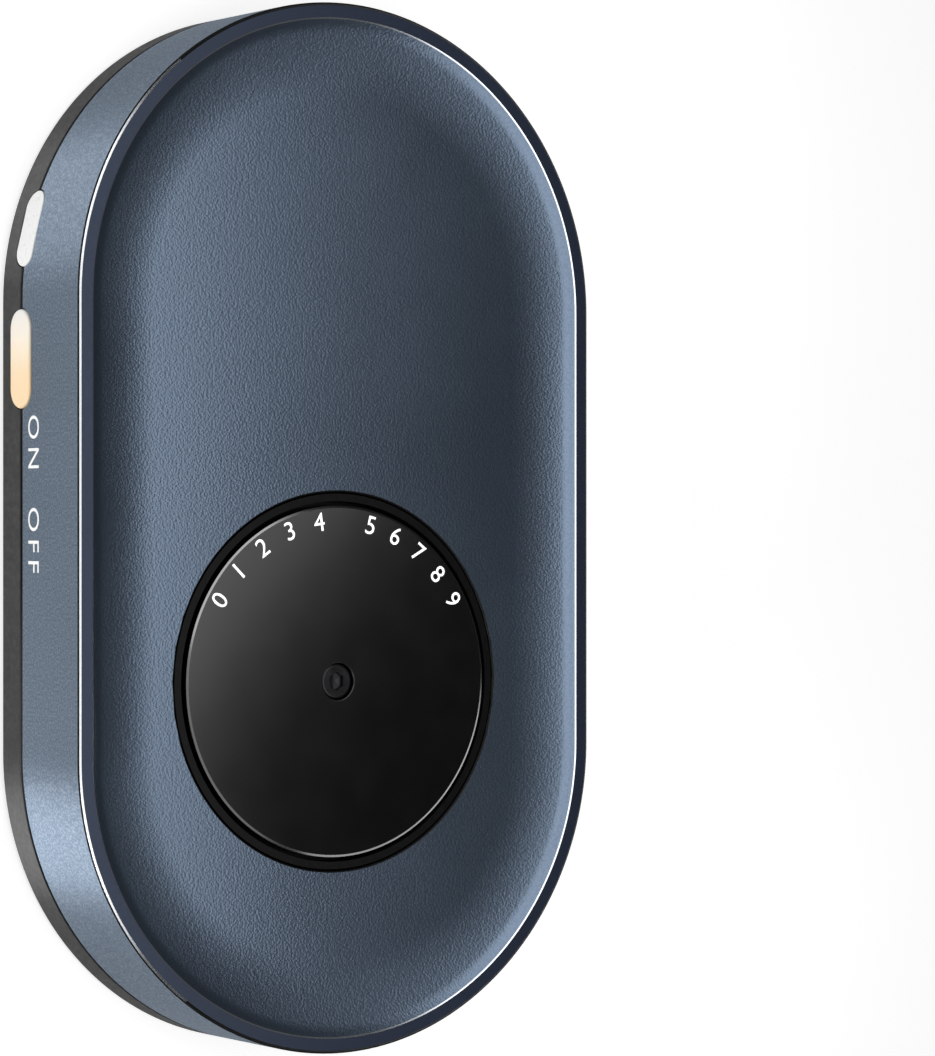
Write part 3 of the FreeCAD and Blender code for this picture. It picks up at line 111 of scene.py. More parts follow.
def gridFaces(rows, columns, first=0, closeRows=False):
    # quads of a grid whose columns close on themselves, row by row
    row, column = np.meshgrid(np.arange(rows if closeRows else rows - 1), np.arange(columns), indexing="ij")
    here = row * columns + column
    right = row * columns + (column + 1) % columns
    up = ((row + 1) % rows) * columns + column
    upRight = ((row + 1) % rows) * columns + (column + 1) % columns
    return (np.stack([here, right, upRight, up], -1).reshape(-1, 4) + first).tolist()


arcPoints = 5
cornerPoints = arcPoints + 2       # an arc and the holding points on both its sides


def softProfile(corners, hold=0.03):
    # a polyline of (r, z, softness) whose corners are replaced by arcs tangent to both sides,
    # with a holding point just before and after each arc that keeps the flats flat
    corners = np.array(corners, dtype=float)
    places, softness = corners[:, :2], corners[:, 2]
    path = []
    for k, (corner, soft) in enumerate(zip(places, softness)):
        if soft == 0 or k in (0, len(places) - 1):
            path.append(corner[None])
            continue
        toLast = places[k - 1] - corner
        toNext = places[k + 1] - corner
        toLast /= np.linalg.norm(toLast)
        toNext /= np.linalg.norm(toNext)
        half = math.acos(np.clip(toLast @ toNext, -1, 1)) / 2
        setBack = soft / math.tan(half)
        centre = corner + (toLast + toNext) / np.linalg.norm(toLast + toNext) * soft / math.sin(half)
        start = corner + toLast * setBack - centre
        end = corner + toNext * setBack - centre
        share = np.linspace(0, 1, arcPoints)[:, None]
        between = math.pi - 2 * half
        arc = (np.sin((1 - share) * between) * start + np.sin(share * between) * end) / math.sin(between)
        path.append((corner + toLast * (setBack + hold))[None])
        path.append(centre + arc)
        path.append((corner + toNext * (setBack + hold))[None])
    return np.concatenate(path)


def turned(profile, centre=(0, 0), steps=96):
    # a profile of (r, z) carried round an upright axis
    profile = np.asarray(profile)
    angle = np.arange(steps) * 2 * math.pi / steps
    x = centre[0] + profile[:, :1] * np.cos(angle)
    y = centre[1] + profile[:, :1] * np.sin(angle)
    z = np.broadcast_to(profile[:, 1:2], x.shape)
    return np.stack([x, y, z], -1).reshape(-1, 3)


def joinParts(parts):
    # several (points, faces) lists as one
    points, faces, count = [], [], 0
    for partPoints, partFaces in parts:
        points.append(partPoints)
        faces += [[corner + count for corner in face] for face in partFaces]
        count += len(partPoints)
    return np.concatenate(points), faces


# ------- the path round the case: t runs 0-1 up the right side, 1-2 round the far end,
# 2-3 down the left side and 3-4 round the near end

sideOpenings = {
    "slotGap": 0.15,
    "lensAngle": 13.8,         # the light sits this far round the far end from the left side
    "lensLength": 10.4,
    "lensHeight": 4.3,
    "lensFlange": 0.6,
    "buttonHeight": 5.2,
    "buttonEar": 1.5,
    "inletWidth": 11.4,
    "inletHeight": 7.0,
    "inletCorner": 1.2,
    "ramp": 0.02,              # how far a steep side of the inlet runs along the path
    "notchRamp": 0.00035,      # path value over which a notch in the lip drops
}
buttonLow, buttonHigh = boxOf("power_button")
usbLow, usbHigh = boxOf("usb_socket")
buttonPlace = (buttonLow[1] + buttonHigh[1]) / 2
buttonLength = buttonHigh[1] - buttonLow[1] - 2 * sideOpenings["buttonEar"]
buttonHeight = sideOpenings["buttonHeight"]


def pathPlaces(t):
    # heading of the outward normal and place along the spine for each path value
    t = t % 4
    spineY = np.interp(t, [0, 1, 2, 3, 4], np.array([-1, 1, 1, -1, -1]) * case["endCentre"])
    heading = np.interp(t, [0, 1, 2, 3, 4], [0, 0, 180, 180, 360])
    return np.radians(heading), spineY


def around(t, radius):
    # places at one radius: a half circle round each end of the spine and straight sides between
    heading, spineY = pathPlaces(t)
    return np.stack([radius * np.cos(heading), spineY + radius * np.sin(heading)], -1)


def buttonAlong(t):
    # distance from the middle of the button, along the left side
    return case["endCentre"] * (1 - 2 * (t - 2)) - buttonPlace


def lensAlong(t):
    # distance from the middle of the light, across its flat outline
    turn = np.radians(180 * (t - 1) - (180 - sideOpenings["lensAngle"]))
    return np.where(np.abs(turn) < math.pi / 2, case["endRadius"] * np.sin(turn), 99)


def inletAlong(t):
    # distance from the middle of the inlet, across the far end
    turn = np.radians(180 * (t - 1) - 90)
    return np.where(np.abs(turn) < math.pi / 2, case["endRadius"] * np.sin(turn), 99)


def pillRise(along, length, height):
    # half height of a round-ended slot at a distance from its middle; zero outside it
    end = height / 2
    past = np.clip((np.abs(along) - (length / 2 - end)) / end, 0, 1)
    return end * np.sqrt(1 - past ** 2)


def pathStations():
    # even steps round the ends, and close ones where an opening's edge turns
    gap = sideOpenings["slotGap"]
    reveal = case["revealGap"] / 2
    places = [np.linspace(0, 1, 13), np.linspace(1, 2, 121), np.linspace(2, 3, 13), np.linspace(3, 4, 121)]

    def buttonPath(along):
        return 2.5 - (along + buttonPlace) / 2 / case["endCentre"]

    def lensPath(along):
        return 2 - (sideOpenings["lensAngle"] - np.degrees(np.arcsin(along / case["endRadius"]))) / 180

    for length, height, toPath in (
            (buttonLength + 2 * gap, buttonHeight + 2 * gap, buttonPath),
            (sideOpenings["lensLength"] + 2 * gap, sideOpenings["lensHeight"] + 2 * gap, lensPath)):
        end = height / 2
        turn = np.linspace(math.asin(reveal / end), math.pi / 2, 22)
        along = length / 2 - end + end * np.cos(turn)
        places += [toPath(along), toPath(-along)]
    half, corner = sideOpenings["inletWidth"] / 2, sideOpenings["inletCorner"]
    turn = np.linspace(0, math.pi / 2, 8)
    along = np.concatenate([half - corner + corner * np.sin(turn), [half + sideOpenings["ramp"]]])
    along = np.concatenate([along, -along])
    places.append(1.5 + np.degrees(np.arcsin(along / case["endRadius"])) / 180)
    for edge in notchEdges():
        places.append(np.array([edge, edge + sideOpenings["notchRamp"]]))
    return np.unique(np.round(np.concatenate(places) % 4, 7))


def notchEdges():
    # path values where the lip is notched behind the button and the light
    halfButton = buttonLength / 2 + sideOpenings["buttonEar"] + sideOpenings["slotGap"]
    halfLens = sideOpenings["lensLength"] / 2 + sideOpenings["lensFlange"] + sideOpenings["slotGap"]
    lensTurn = math.degrees(math.asin(halfLens / case["endRadius"]))
    middle = 2.5 - buttonPlace / 2 / case["endCentre"]
    across = halfButton / 2 / case["endCentre"]
    lensMiddle = 2 - sideOpenings["lensAngle"] / 180
    return [middle - across, middle + across, lensMiddle - lensTurn / 180, lensMiddle + lensTurn / 180]


def openingRise(t):
    # how far the openings reach above and below the seam at each station
    gap = sideOpenings["slotGap"]
    button = pillRise(np.where((t >= 2) & (t <= 3), buttonAlong(t), 99),
                      buttonLength + 2 * gap, buttonHeight + 2 * gap)
    lens = pillRise(lensAlong(t), sideOpenings["lensLength"] + 2 * gap,
                    sideOpenings["lensHeight"] + 2 * gap)
    both = np.maximum(button, lens)
    half, corner = sideOpenings["inletWidth"] / 2, sideOpenings["inletCorner"]
    off = np.abs(inletAlong(t))
    past = np.clip((off - half + corner) / corner, 0, 1)
    square = sideOpenings["inletHeight"] / 2 - corner + corner * np.sqrt(1 - past ** 2)
    middle = (usbLow[2] + usbHigh[2]) / 2
    inside = off <= half + 1e-6
    above = np.where(inside, middle + square - case["seam"], 0)
    below = np.where(inside, case["seam"] - middle + square, 0)
    return np.maximum(both, above), np.maximum(both, below)


stations = pathStations()
riseAbove, riseBelow = openingRise(stations)
print("path stations:", len(stations))


# ------- finishes


def newMaterial(name):
    material = bpy.data.materials.new(name)
    material.use_nodes = True
    nodes = material.node_tree.nodes
    return material, nodes, material.node_tree.links, nodes["Principled BSDF"]


def noiseNode(nodes, links, coordinate, scale, detail):
    noise = nodes.new("ShaderNodeTexNoise")
    noise.inputs["Scale"].default_value = scale
    noise.inputs["Detail"].default_value = detail
    links.new(coordinate, noise.inputs["Vector"])
    return noise.outputs["Fac"]


def rampNode(nodes, links, factor, stops):
    ramp = nodes.new("ShaderNodeValToRGB")
    elements = ramp.color_ramp.elements
    while len(elements) < len(stops):
        elements.new(0.5)
    for element, (place, colour) in zip(elements, stops):
        element.position = place
        element.color = (*colour, 1)
    links.new(factor, ramp.inputs["Fac"])
    return ramp.outputs["Color"]


def rangeNode(nodes, links, value, fromLow, fromHigh, toLow, toHigh):
    spread = nodes.new("ShaderNodeMapRange")
    spread.inputs["From Min"].default_value = fromLow
    spread.inputs["From Max"].default_value = fromHigh
    spread.inputs["To Min"].default_value = toLow
    spread.inputs["To Max"].default_value = toHigh
    links.new(value, spread.inputs["Value"])
    return spread.outputs["Result"]


def setRoughness(nodes, links, surface, noise, low, high):
    # a noise between 0.3 and 0.7 swings the roughness between two levels
    links.new(rangeNode(nodes, links, noise, 0.3, 0.7, low, high), surface.inputs["Roughness"])


def bumpNode(nodes, links, height, strength, distance, before=None):
    bump = nodes.new("ShaderNodeBump")
    bump.inputs["Strength"].default_value = strength
    bump.inputs["Distance"].default_value = distance
    links.new(height, bump.inputs["Height"])
    if before:
        links.new(before, bump.inputs["Normal"])
    return bump.outputs["Normal"]


def objectPlace(nodes):
    return nodes.new("ShaderNodeTexCoord").outputs["Object"]


def shade(colour, factor):
    # the same colour, lighter or darker
    return tuple(min(1.0, part * factor) for part in colour)


def brushedRound(nodes, links, surface, amount):
    # highlights stretched upright, as on a wall finished in strokes that run round it
    strokes = nodes.new("ShaderNodeTangent")
    strokes.direction_type = "RADIAL"
    strokes.axis = "Z"
    links.new(strokes.outputs["Tangent"], surface.inputs["Tangent"])
    surface.inputs["Anisotropic"].default_value = amount
    surface.inputs["Anisotropic Rotation"].default_value = 0.25


def moulded(name, colour, rough, grain=900.0, depth=0.00002, metallic=0.0, vary=0.12):
    # plain part finish: fine grain in the bump, slow variation of colour and roughness
    material, nodes, links, surface = newMaterial(name)
    place = objectPlace(nodes)
    slow = noiseNode(nodes, links, place, 60, 4)
    fine = noiseNode(nodes, links, place, grain, 3)
    tint = rampNode(nodes, links, slow, [(0.3, shade(colour, 1 - vary)),
                                         (0.7, shade(colour, 1 + vary))])
    links.new(tint, surface.inputs["Base Color"])
    setRoughness(nodes, links, surface, fine, rough * 0.85, min(1, rough * 1.15))
    links.new(bumpNode(nodes, links, fine, 0.35, depth), surface.inputs["Normal"])
    surface.inputs["Metallic"].default_value = metallic
    return material


def brushed(name, colour, rough, stretch=(1, 1, 12), metallic=1.0):
    # drawn or turned metal: noise squeezed along one axis
    material, nodes, links, surface = newMaterial(name)
    squeeze = nodes.new("ShaderNodeMapping")
    squeeze.inputs["Scale"].default_value = stretch
    links.new(objectPlace(nodes), squeeze.inputs["Vector"])
    lines = noiseNode(nodes, links, squeeze.outputs["Vector"], 700, 2)
    tint = rampNode(nodes, links, lines, [(0.3, shade(colour, 0.85)), (0.7, shade(colour, 1.1))])
    links.new(tint, surface.inputs["Base Color"])
    setRoughness(nodes, links, surface, lines, rough * 0.8, rough * 1.25)
    links.new(bumpNode(nodes, links, lines, 0.2, 0.00001), surface.inputs["Normal"])
    surface.inputs["Metallic"].default_value = metallic
    return material


slate = {
    "side": (0.200, 0.254, 0.328),
    "sideFleck": (0.322, 0.386, 0.468),
    "dish": (0.166, 0.217, 0.294),         # on the grain's tops
    "dishCreaseShade": (0.142, 0.187, 0.255),      # and darker in its creases: painted shade
    "rim": (0.030, 0.042, 0.074),
    "sideRough": 0.54,
    "dishRough": 0.29,
    "rimRough": 0.38,
}


def sideSatin():
    # satin metallic paint with a very fine fleck
    material, nodes, links, surface = newMaterial("sideSatin")
    place = objectPlace(nodes)
    fleck = noiseNode(nodes, links, place, 3400, 1)
    slow = noiseNode(nodes, links, place, 35, 3)
    tint = rampNode(nodes, links, fleck, [(0.42, slate["side"]), (0.64, slate["sideFleck"])])
    links.new(tint, surface.inputs["Base Color"])
    rough = slate["sideRough"]
    setRoughness(nodes, links, surface, slow, rough - 0.03, rough + 0.03)
    links.new(bumpNode(nodes, links, fleck, 0.25, 0.00001), surface.inputs["Normal"])
    surface.inputs["Metallic"].default_value = 1.0
    brushedRound(nodes, links, surface, 1.0)
    return material


def baseSatin():
    # black satin moulding with a trace of the same strokes
    material = moulded("baseBlack", (0.114, 0.113, 0.113), 0.51, 1500, 0.00001, 1.0, 0.05)
    nodes, links = material.node_tree.nodes, material.node_tree.links
    surface = nodes["Principled BSDF"]
    brushedRound(nodes, links, surface, 1.0)
    return material


def wellBlack():
    # the deep matt black of the well's ring; where it fills the gaps it is painted shade
    material = moulded("wellBlack", (0.004, 0.004, 0.0042), 0.4, 1300, 0.00003)
    material.node_tree.nodes["Principled BSDF"].inputs["Specular IOR Level"].default_value = 0.15
    return material


def dishGrain():
    # moulded leather-like grain: wrinkled cells a third of a millimetre wide
    material, nodes, links, surface = newMaterial("dishGrain")
    place = objectPlace(nodes)
    warp = nodes.new("ShaderNodeTexNoise")
    warp.inputs["Scale"].default_value = 2000
    links.new(place, warp.inputs["Vector"])
    shift = nodes.new("ShaderNodeVectorMath")
    shift.operation = "MULTIPLY_ADD"
    shift.inputs[1].default_value = (0.00022, 0.00022, 0.00022)
    links.new(warp.outputs["Color"], shift.inputs[0])
    links.new(place, shift.inputs[2])
    cells = nodes.new("ShaderNodeTexVoronoi")
    cells.feature = "SMOOTH_F1"
    cells.inputs["Scale"].default_value = 3000
    cells.inputs["Smoothness"].default_value = 0.6
    links.new(shift.outputs["Vector"], cells.inputs["Vector"])
    fine = noiseNode(nodes, links, place, 6500, 2)
    slow = noiseNode(nodes, links, place, 30, 3)
    # the grain's colour is lighter on its tops and darker in its creases, painted shade
    tint = rampNode(nodes, links, cells.outputs["Distance"],
                    [(0.15, slate["dish"]), (0.75, slate["dishCreaseShade"])])
    links.new(tint, surface.inputs["Base Color"])
    rough = slate["dishRough"]
    setRoughness(nodes, links, surface, slow, rough - 0.03, rough + 0.03)
    coarse = bumpNode(nodes, links, cells.outputs["Distance"], 0.5, -0.00004)
    links.new(bumpNode(nodes, links, fine, 0.3, 0.00001, coarse), surface.inputs["Normal"])
    surface.inputs["Metallic"].default_value = 0.95
    return material


def rimSatin():
    # dark flat trim round the top
    return moulded("rimSatin", slate["rim"], slate["rimRough"], 2600, 0.000012, 0.5, 0.06)


def edgePolish():
    # bright cut edge: bare metal, a little cloudy
    material, nodes, links, surface = newMaterial("edgePolish")
    cloud = noiseNode(nodes, links, objectPlace(nodes), 300, 2)
    tint = rampNode(nodes, links, cloud, [(0.3, (0.84, 0.87, 0.91)), (0.7, (0.90, 0.92, 0.95))])
    links.new(tint, surface.inputs["Base Color"])
    setRoughness(nodes, links, surface, cloud, 0.2, 0.24)
    links.new(bumpNode(nodes, links, cloud, 0.02, 0.000002), surface.inputs["Normal"])
    surface.inputs["Metallic"].default_value = 1.0
    return material


def discGloss(name, shine):
    # polished black with faint turning marks round the disc's middle; shine is its specular level
    material, nodes, links, surface = newMaterial(name)
    place = objectPlace(nodes)
    centre = nodes.new("ShaderNodeMapping")
    centre.inputs["Location"].default_value = (-spindle[0] * mm, -spindle[1] * mm, 0)
    links.new(place, centre.inputs["Vector"])
    rings = nodes.new("ShaderNodeTexWave")
    rings.wave_type = "RINGS"
    rings.rings_direction = "Z"
    rings.inputs["Scale"].default_value = 900
    rings.inputs["Distortion"].default_value = 1.5
    links.new(centre.outputs["Vector"], rings.inputs["Vector"])
    dust = noiseNode(nodes, links, place, 220, 5)
    tint = rampNode(nodes, links, dust, [(0.35, (0.0006, 0.0006, 0.0007)),
                                         (0.75, (0.0012, 0.0012, 0.0013))])
    links.new(tint, surface.inputs["Base Color"])
    links.new(rangeNode(nodes, links, dust, 0.3, 0.8, 0.17, 0.19), surface.inputs["Roughness"])
    links.new(bumpNode(nodes, links, rings.outputs["Fac"], 0.04, 0.000004), surface.inputs["Normal"])
    surface.inputs["Specular IOR Level"].default_value = shine
    return material


def buttonGlow():
    # milky key, white at its far end and warm at its near end: a painted glow
    material, nodes, links, surface = newMaterial("buttonGlow")
    place = objectPlace(nodes)
    parts = nodes.new("ShaderNodeSeparateXYZ")
    links.new(place, parts.inputs["Vector"])
    low, high = (buttonPlace - buttonLength / 2) * mm, (buttonPlace + buttonLength / 2) * mm
    along = rangeNode(nodes, links, parts.outputs["Y"], low, high, 0, 1)
    tint = rampNode(nodes, links, along, [(0.0, (0.91, 0.66, 0.40)), (0.35, (0.91, 0.69, 0.44)),
                                          (0.7, (0.90, 0.81, 0.67)), (1.0, (0.80, 0.79, 0.76))])
    grain = noiseNode(nodes, links, place, 2500, 2)
    links.new(tint, surface.inputs["Base Color"])
    setRoughness(nodes, links, surface, grain, 0.28, 0.36)
    links.new(bumpNode(nodes, links, grain, 0.1, 0.00001), surface.inputs["Normal"])
    surface.inputs["Subsurface Weight"].default_value = 0.25
    surface.inputs["Subsurface Radius"].default_value = (0.002, 0.0012, 0.0006)
    return material


def boardGreen():
    # solder mask with tracks showing through
    material, nodes, links, surface = newMaterial("boardGreen")
    place = objectPlace(nodes)
    tracks = nodes.new("ShaderNodeTexBrick")
    tracks.inputs["Scale"].default_value = 160
    tracks.inputs["Mortar Size"].default_value = 0.03
    tracks.inputs["Color1"].default_value = (0.01, 0.085, 0.035, 1)
    tracks.inputs["Color2"].default_value = (0.012, 0.10, 0.04, 1)
    tracks.inputs["Mortar"].default_value = (0.03, 0.17, 0.07, 1)
    links.new(place, tracks.inputs["Vector"])
    fine = noiseNode(nodes, links, place, 1500, 2)
    links.new(tracks.outputs["Color"], surface.inputs["Base Color"])
    setRoughness(nodes, links, surface, fine, 0.25, 0.38)
    links.new(bumpNode(nodes, links, tracks.outputs["Fac"], 0.2, 0.00003), surface.inputs["Normal"])
    return material


finishes = {
    "base_black": baseSatin(),
    "shell_slate": sideSatin(),
    "foot_rubber": moulded("footRubber", (0.022, 0.022, 0.023), 0.78, 1100, 0.00006),
    "screw_steel": brushed("screwSteel", (0.42, 0.42, 0.43), 0.33),
    "well_black": wellBlack(),
    "frame_white": moulded("frameWhite", (0.62, 0.62, 0.60), 0.5, 700, 0.00003),
    "bronze": brushed("bushBronze", (0.42, 0.25, 0.11), 0.38),
    "steel": brushed("turnedSteel", (0.55, 0.55, 0.56), 0.25),
    "disc_black": discGloss("discGloss", 0.26),
    "screw_black": brushed("screwBlack", (0.02, 0.02, 0.022), 0.3, metallic=0.6),
    "gear_white": moulded("gearWhite", (0.72, 0.71, 0.66), 0.42, 900, 0.00002),
    "brass": brushed("pinionBrass", (0.60, 0.42, 0.16), 0.27),
    "motor_zinc": brushed("motorZinc", (0.50, 0.51, 0.53), 0.34, (1, 1, 8)),
    "motor_black": moulded("motorBlack", (0.018, 0.018, 0.019), 0.5, 900, 0.00003),
    "lead_red": moulded("leadRed", (0.45, 0.02, 0.015), 0.4, 1400, 0.00002),
    "button_cream": buttonGlow(),
    "switch_black": moulded("switchBlack", (0.02, 0.02, 0.022), 0.45, 1200, 0.00003),
    "lens_white": moulded("lensWhite", (0.84, 0.84, 0.83), 0.3, 1800, 0.00001, vary=0.02),
    "led_white": moulded("ledWhite", (0.82, 0.80, 0.70), 0.3, 1500, 0.00001, vary=0.05),
    "board_green": boardGreen(),
    "socket_steel": brushed("socketSteel", (0.58, 0.58, 0.58), 0.28),
    "chip_black": moulded("chipBlack", (0.014, 0.014, 0.015), 0.55, 2200, 0.00003),
    "capacitor_sleeve": moulded("capacitorSleeve", (0.03, 0.035, 0.07), 0.35, 900, 0.00001),
    "ceramic_tan": moulded("ceramicTan", (0.35, 0.24, 0.13), 0.5, 1800, 0.00002),
}
dishFinish = dishGrain()
rimFinish = rimSatin()
edgeFinish = edgePolish()
printWhite = moulded("printWhite", (0.88, 0.88, 0.87), 0.4, 2600, 0.000005, vary=0.03)

for part in frame["record"]["subparts"]:
    mesh = frame["nodes"][part["node"]].data
    mesh.materials.clear()
    mesh.materials.append(finishes[part["material_slot"]])
print("materials:", len(bpy.data.materials))

# ------- top shell

shell = {
    "rimWidth": 2.15,
    "gapWidth": 0.2,           # step between the wall and the rim's trim, finished black as painted shade
    "gapRise": 0.12,
    "outerCut": 0.22,          # bright chamfer round the rim's outer edge
    "paintedShadeFrom": -0.62,     # left of this share of the radius it is polished; right of it, black as painted shade
    "innerCut": 0.12,          # and round its inner edge
    "innerCutReach": 0.4,      # shares of the inner cut that it goes inside the rim's line
    "innerCutFall": 1.04,      # and down the slope
    "cutSoft": 0.05,
    "stepSoft": 0.02,
    "dishWidth": 9.8,
    "dishDepth": 1.7,
    "rimSlope": 40.0,          # degrees down into the dish, just inside the rim
    "kneeSlope": 12.0,         # and where the tight arc gives way to the wide one
    "roof": 2.0,
    "mouthGap": 1.8,           # from the disc's edge to the hole's edge
    "mouthSoft": 0.25,
    "columnRadius": 3.1,
    "columnBore": 1.1,
    "columnGrip": 6.5,
    "columnReach": 33.6,
    "columnAngle": 61.8,
    "columnBack": 2.0,
}


def dishCurve():
    # a tight arc under the rim, then a wide one that runs out flat on the dish's floor; their two
    # radii are such that together they are as wide and as deep as the dish
    slopes = np.radians([shell["rimSlope"], shell["kneeSlope"]])
    rim = case["endRadius"] - shell["rimWidth"]
    floor = case["shellTop"] - shell["dishDepth"]
    kneeRun = math.sin(slopes[0]) - math.sin(slopes[1])
    kneeFall = math.cos(slopes[1]) - math.cos(slopes[0])
    toeRun, toeFall = math.sin(slopes[1]), 1 - math.cos(slopes[1])
    toe = (shell["dishWidth"] - shell["dishDepth"] * kneeRun / kneeFall)
    toe /= toeRun - toeFall * kneeRun / kneeFall
    knee = (shell["dishDepth"] - toe * toeFall) / kneeFall
    inner = rim - shell["dishWidth"]
    lean = np.linspace(slopes[0], slopes[1], 9)[:, None]
    kneeArc = np.hstack([inner + toe * toeRun + knee * (np.sin(lean) - math.sin(slopes[1])),
                         floor + toe * toeFall + knee * (math.cos(slopes[1]) - np.cos(lean))])
    lean = np.linspace(slopes[1], 0, 13)[1:, None]
    toeArc = np.hstack([inner + toe * np.sin(lean), floor + toe * (1 - np.cos(lean))])
    return np.vstack([kneeArc, toeArc])


def casePosts():
    # places of the six screw columns
    x = shell["columnReach"] * math.cos(math.radians(shell["columnAngle"]))
    y = case["endCentre"] + shell["columnReach"] * math.sin(math.radians(shell["columnAngle"]))
    return [(x, y), (x, -y), (-x, y), (-x, -y), (shell["columnReach"], -shell["columnBack"]),
            (-shell["columnReach"], -shell["columnBack"])]


def makeShell():
    # rows of points follow the case's path at one radius and height each; between the dish's
    # floor and the round mouth they slide from the path onto the circle
    outer, soft, low, top = case["endRadius"], case["edgeSoftness"], case["shellBottom"], case["shellTop"]
    inner = outer - case["wall"]
    floor = top - shell["dishDepth"]
    roof = floor - shell["roof"]
    mouth = (discHigh[0] - discLow[0]) / 2 + shell["mouthGap"]
    dish = dishCurve()
    cut, rim, turnIn = shell["outerCut"], dish[0, 0], shell["innerCut"]
    slope = math.tan(math.radians(shell["rimSlope"]))
    gap, step = shell["gapWidth"], top - cut - shell["gapRise"]
    cutSoft, stepSoft = shell["cutSoft"], shell["stepSoft"]
    wall = softProfile([
        (inner, roof, 0), (inner, low, soft), (outer, low, soft),
        (outer, step, stepSoft), (outer - gap, step, stepSoft), (outer - gap, top - cut, stepSoft),
        (outer - gap - cut, top, cutSoft), (rim + turnIn, top, cutSoft),
        (rim - turnIn * shell["innerCutReach"], top - turnIn * slope * shell["innerCutFall"], cutSoft),
        (*dish[2], 0)])[1:-1]
    profile = np.vstack([wall, dish[2:]])
    lift = np.maximum(riseAbove - case["revealGap"] / 2, 0)
    rows = []
    for r, z in profile:
        height = np.full(len(stations), z) + (lift if z < low + case["openingBand"] else 0)
        rows.append(np.column_stack([around(stations, r), height]))
    last = around(stations, dish[-1, 0])
    turn = np.arctan2(last[:, 1] - spindle[1], last[:, 0] - spindle[0])
    ring = np.column_stack([np.cos(turn), np.sin(turn)])
    soften = shell["mouthSoft"]
    for share in (0.25, 0.5, 0.75):
        flat = last * (1 - share) + (spindle + ring * (mouth + soften)) * share
        rows.append(np.column_stack([flat, np.full(len(flat), floor)]))
    mouthRow = len(rows)
    hole = softProfile([(mouth + 1, floor, 0), (mouth, floor, soften), (mouth, roof, 0.1),
                        (mouth + 1, roof, 0)])[1:-1]
    for r, z in hole:
        rows.append(np.column_stack([spindle + ring * r, np.full(len(ring), z)]))
    under = around(stations, inner)
    rows.append(np.column_stack([under * 0.5 + (spindle + ring * mouth) * 0.5, np.full(len(ring), roof)]))
    rows.append(np.column_stack([under, np.full(len(under), roof)]))
    points = np.concatenate(rows)
    faces = gridFaces(len(rows), len(stations), closeRows=True)
    # black inside, satin outside, then a black step, a bright cut, the rim's trim, another cut and the dish's
    # grain; each finish changes in the middle of a rounded corner. The black step, the black underside of the
    # wall at the reveal and the black on the outer cut's right part are painted shade
    satin, grain, trim, bright, black = range(5)
    kind = np.full(len(rows), satin)
    edge = len(wall) - cornerPoints * np.arange(6, 0, -1) + cornerPoints // 2
    for start, finish in zip(edge, (black, black, bright, trim, bright, grain)):
        kind[start:] = finish
    # the wall's bottom face at the reveal is black as well: painted shade in the seam
    kind[:cornerPoints + cornerPoints // 2] = black
    kind[mouthRow + 1:] = black
    kind = np.repeat(kind[:, None], len(stations), axis=1)
    # stations right of that share get a black outer cut: painted shade on the side turned from the light
    inPaintedShade = around(stations, outer)[:, 0] > shell["paintedShadeFrom"] * outer
    kind[edge[2]:edge[3], inPaintedShade] = black
    parts = [(points, faces)]
    grip = case["baseTop"] + shell["columnGrip"]
    column = [(shell["columnBore"], case["baseTop"]), (shell["columnRadius"], case["baseTop"]),
              (shell["columnRadius"], roof), (0, roof), (0, grip), (shell["columnBore"], grip)]
    for post in casePosts():
        parts.append((turned(column, post, 32), gridFaces(len(column), 32, closeRows=True)))
    allPoints, allFaces = joinParts(parts)
    kinds = np.zeros(len(allFaces), dtype=int)
    kinds[:len(faces)] = kind.ravel()
    coats = [finishes["shell_slate"], dishFinish, rimFinish, edgeFinish, finishes["well_black"]]
    return makePiece("caseShell", allPoints, allFaces, "case", coats, kinds)


caseShell = makeShell()
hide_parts("top_shell")
print("shell made")

# ------- base cover

base = {
    "floor": 2.1,
    "chamfer": 0.4,
    "edgeSoft": 0.15,
    "lipGap": 0.1,
    "lipWall": 1.2,
    "notchSink": 0.2,          # the lip's notches go this far under the wall's edge
    "flatRadius": 30.0,        # inside this the floor is one flat face
    "footRadius": 6.0,
    "footSeat": 0.5,
    "footGap": 0.05,
    "headSink": 2.0,
    "headRadius": 2.19,
    "boreRadius": 1.2,
    "plateColumnRadius": 2.6,
    "plateColumnHeight": 1.7,
    "panelLength": 30.0,
    "panelWidth": 20.0,
    "panelDepth": 0.3,
    "panelPlace": 43.0,
    "panelCorner": 1.5,
    "cutPast": 1.0,            # how far the cutting solids stand out of the floor
}


def clusterCentres(node, spread):
    # middles of the separate solids of a node: vertices nearer than spread in plan are one solid
    mesh = frame["nodes"][node].data
    places = np.empty(len(mesh.vertices) * 3)
    mesh.vertices.foreach_get("co", places)
    places = places.reshape(-1, 3)[:, :2] / mm
    centres = []
    left = np.ones(len(places), dtype=bool)
    while left.any():
        seed = places[left][0]
        near = left & (np.linalg.norm(places - seed, axis=1) < spread)
        group = places[near]
        centres.append((group.min(0) + group.max(0)) / 2)
        left &= ~near
    return centres


feet = clusterCentres("rubber_feet", 14)
plateScrews = clusterCentres("mechanism_screws", 6)
screwPlaces = clusterCentres("case_screws", 6) + plateScrews


def roundedBox(length, width, corner, steps=6):
    # outline of a rectangle with round corners, counter-clockwise
    quarter = np.linspace(0, math.pi / 2, steps)
    arcs = []
    for k, (sx, sy) in enumerate(((1, 1), (-1, 1), (-1, -1), (1, -1))):
        middle = np.array([sx * (length / 2 - corner), sy * (width / 2 - corner)])
        turn = quarter + k * math.pi / 2
        arcs.append(middle + corner * np.column_stack([np.cos(turn), np.sin(turn)]))
    return np.concatenate(arcs)


def prism(outline, low, high):
    # closed upright prism over an outline
    count = len(outline)
    bottom = np.column_stack([outline, np.full(count, low)])
    topFace = np.column_stack([outline, np.full(count, high)])
    faces = gridFaces(2, count)
    faces += [list(range(count))[::-1], list(range(count, 2 * count))]
    return np.concatenate([bottom, topFace]), faces


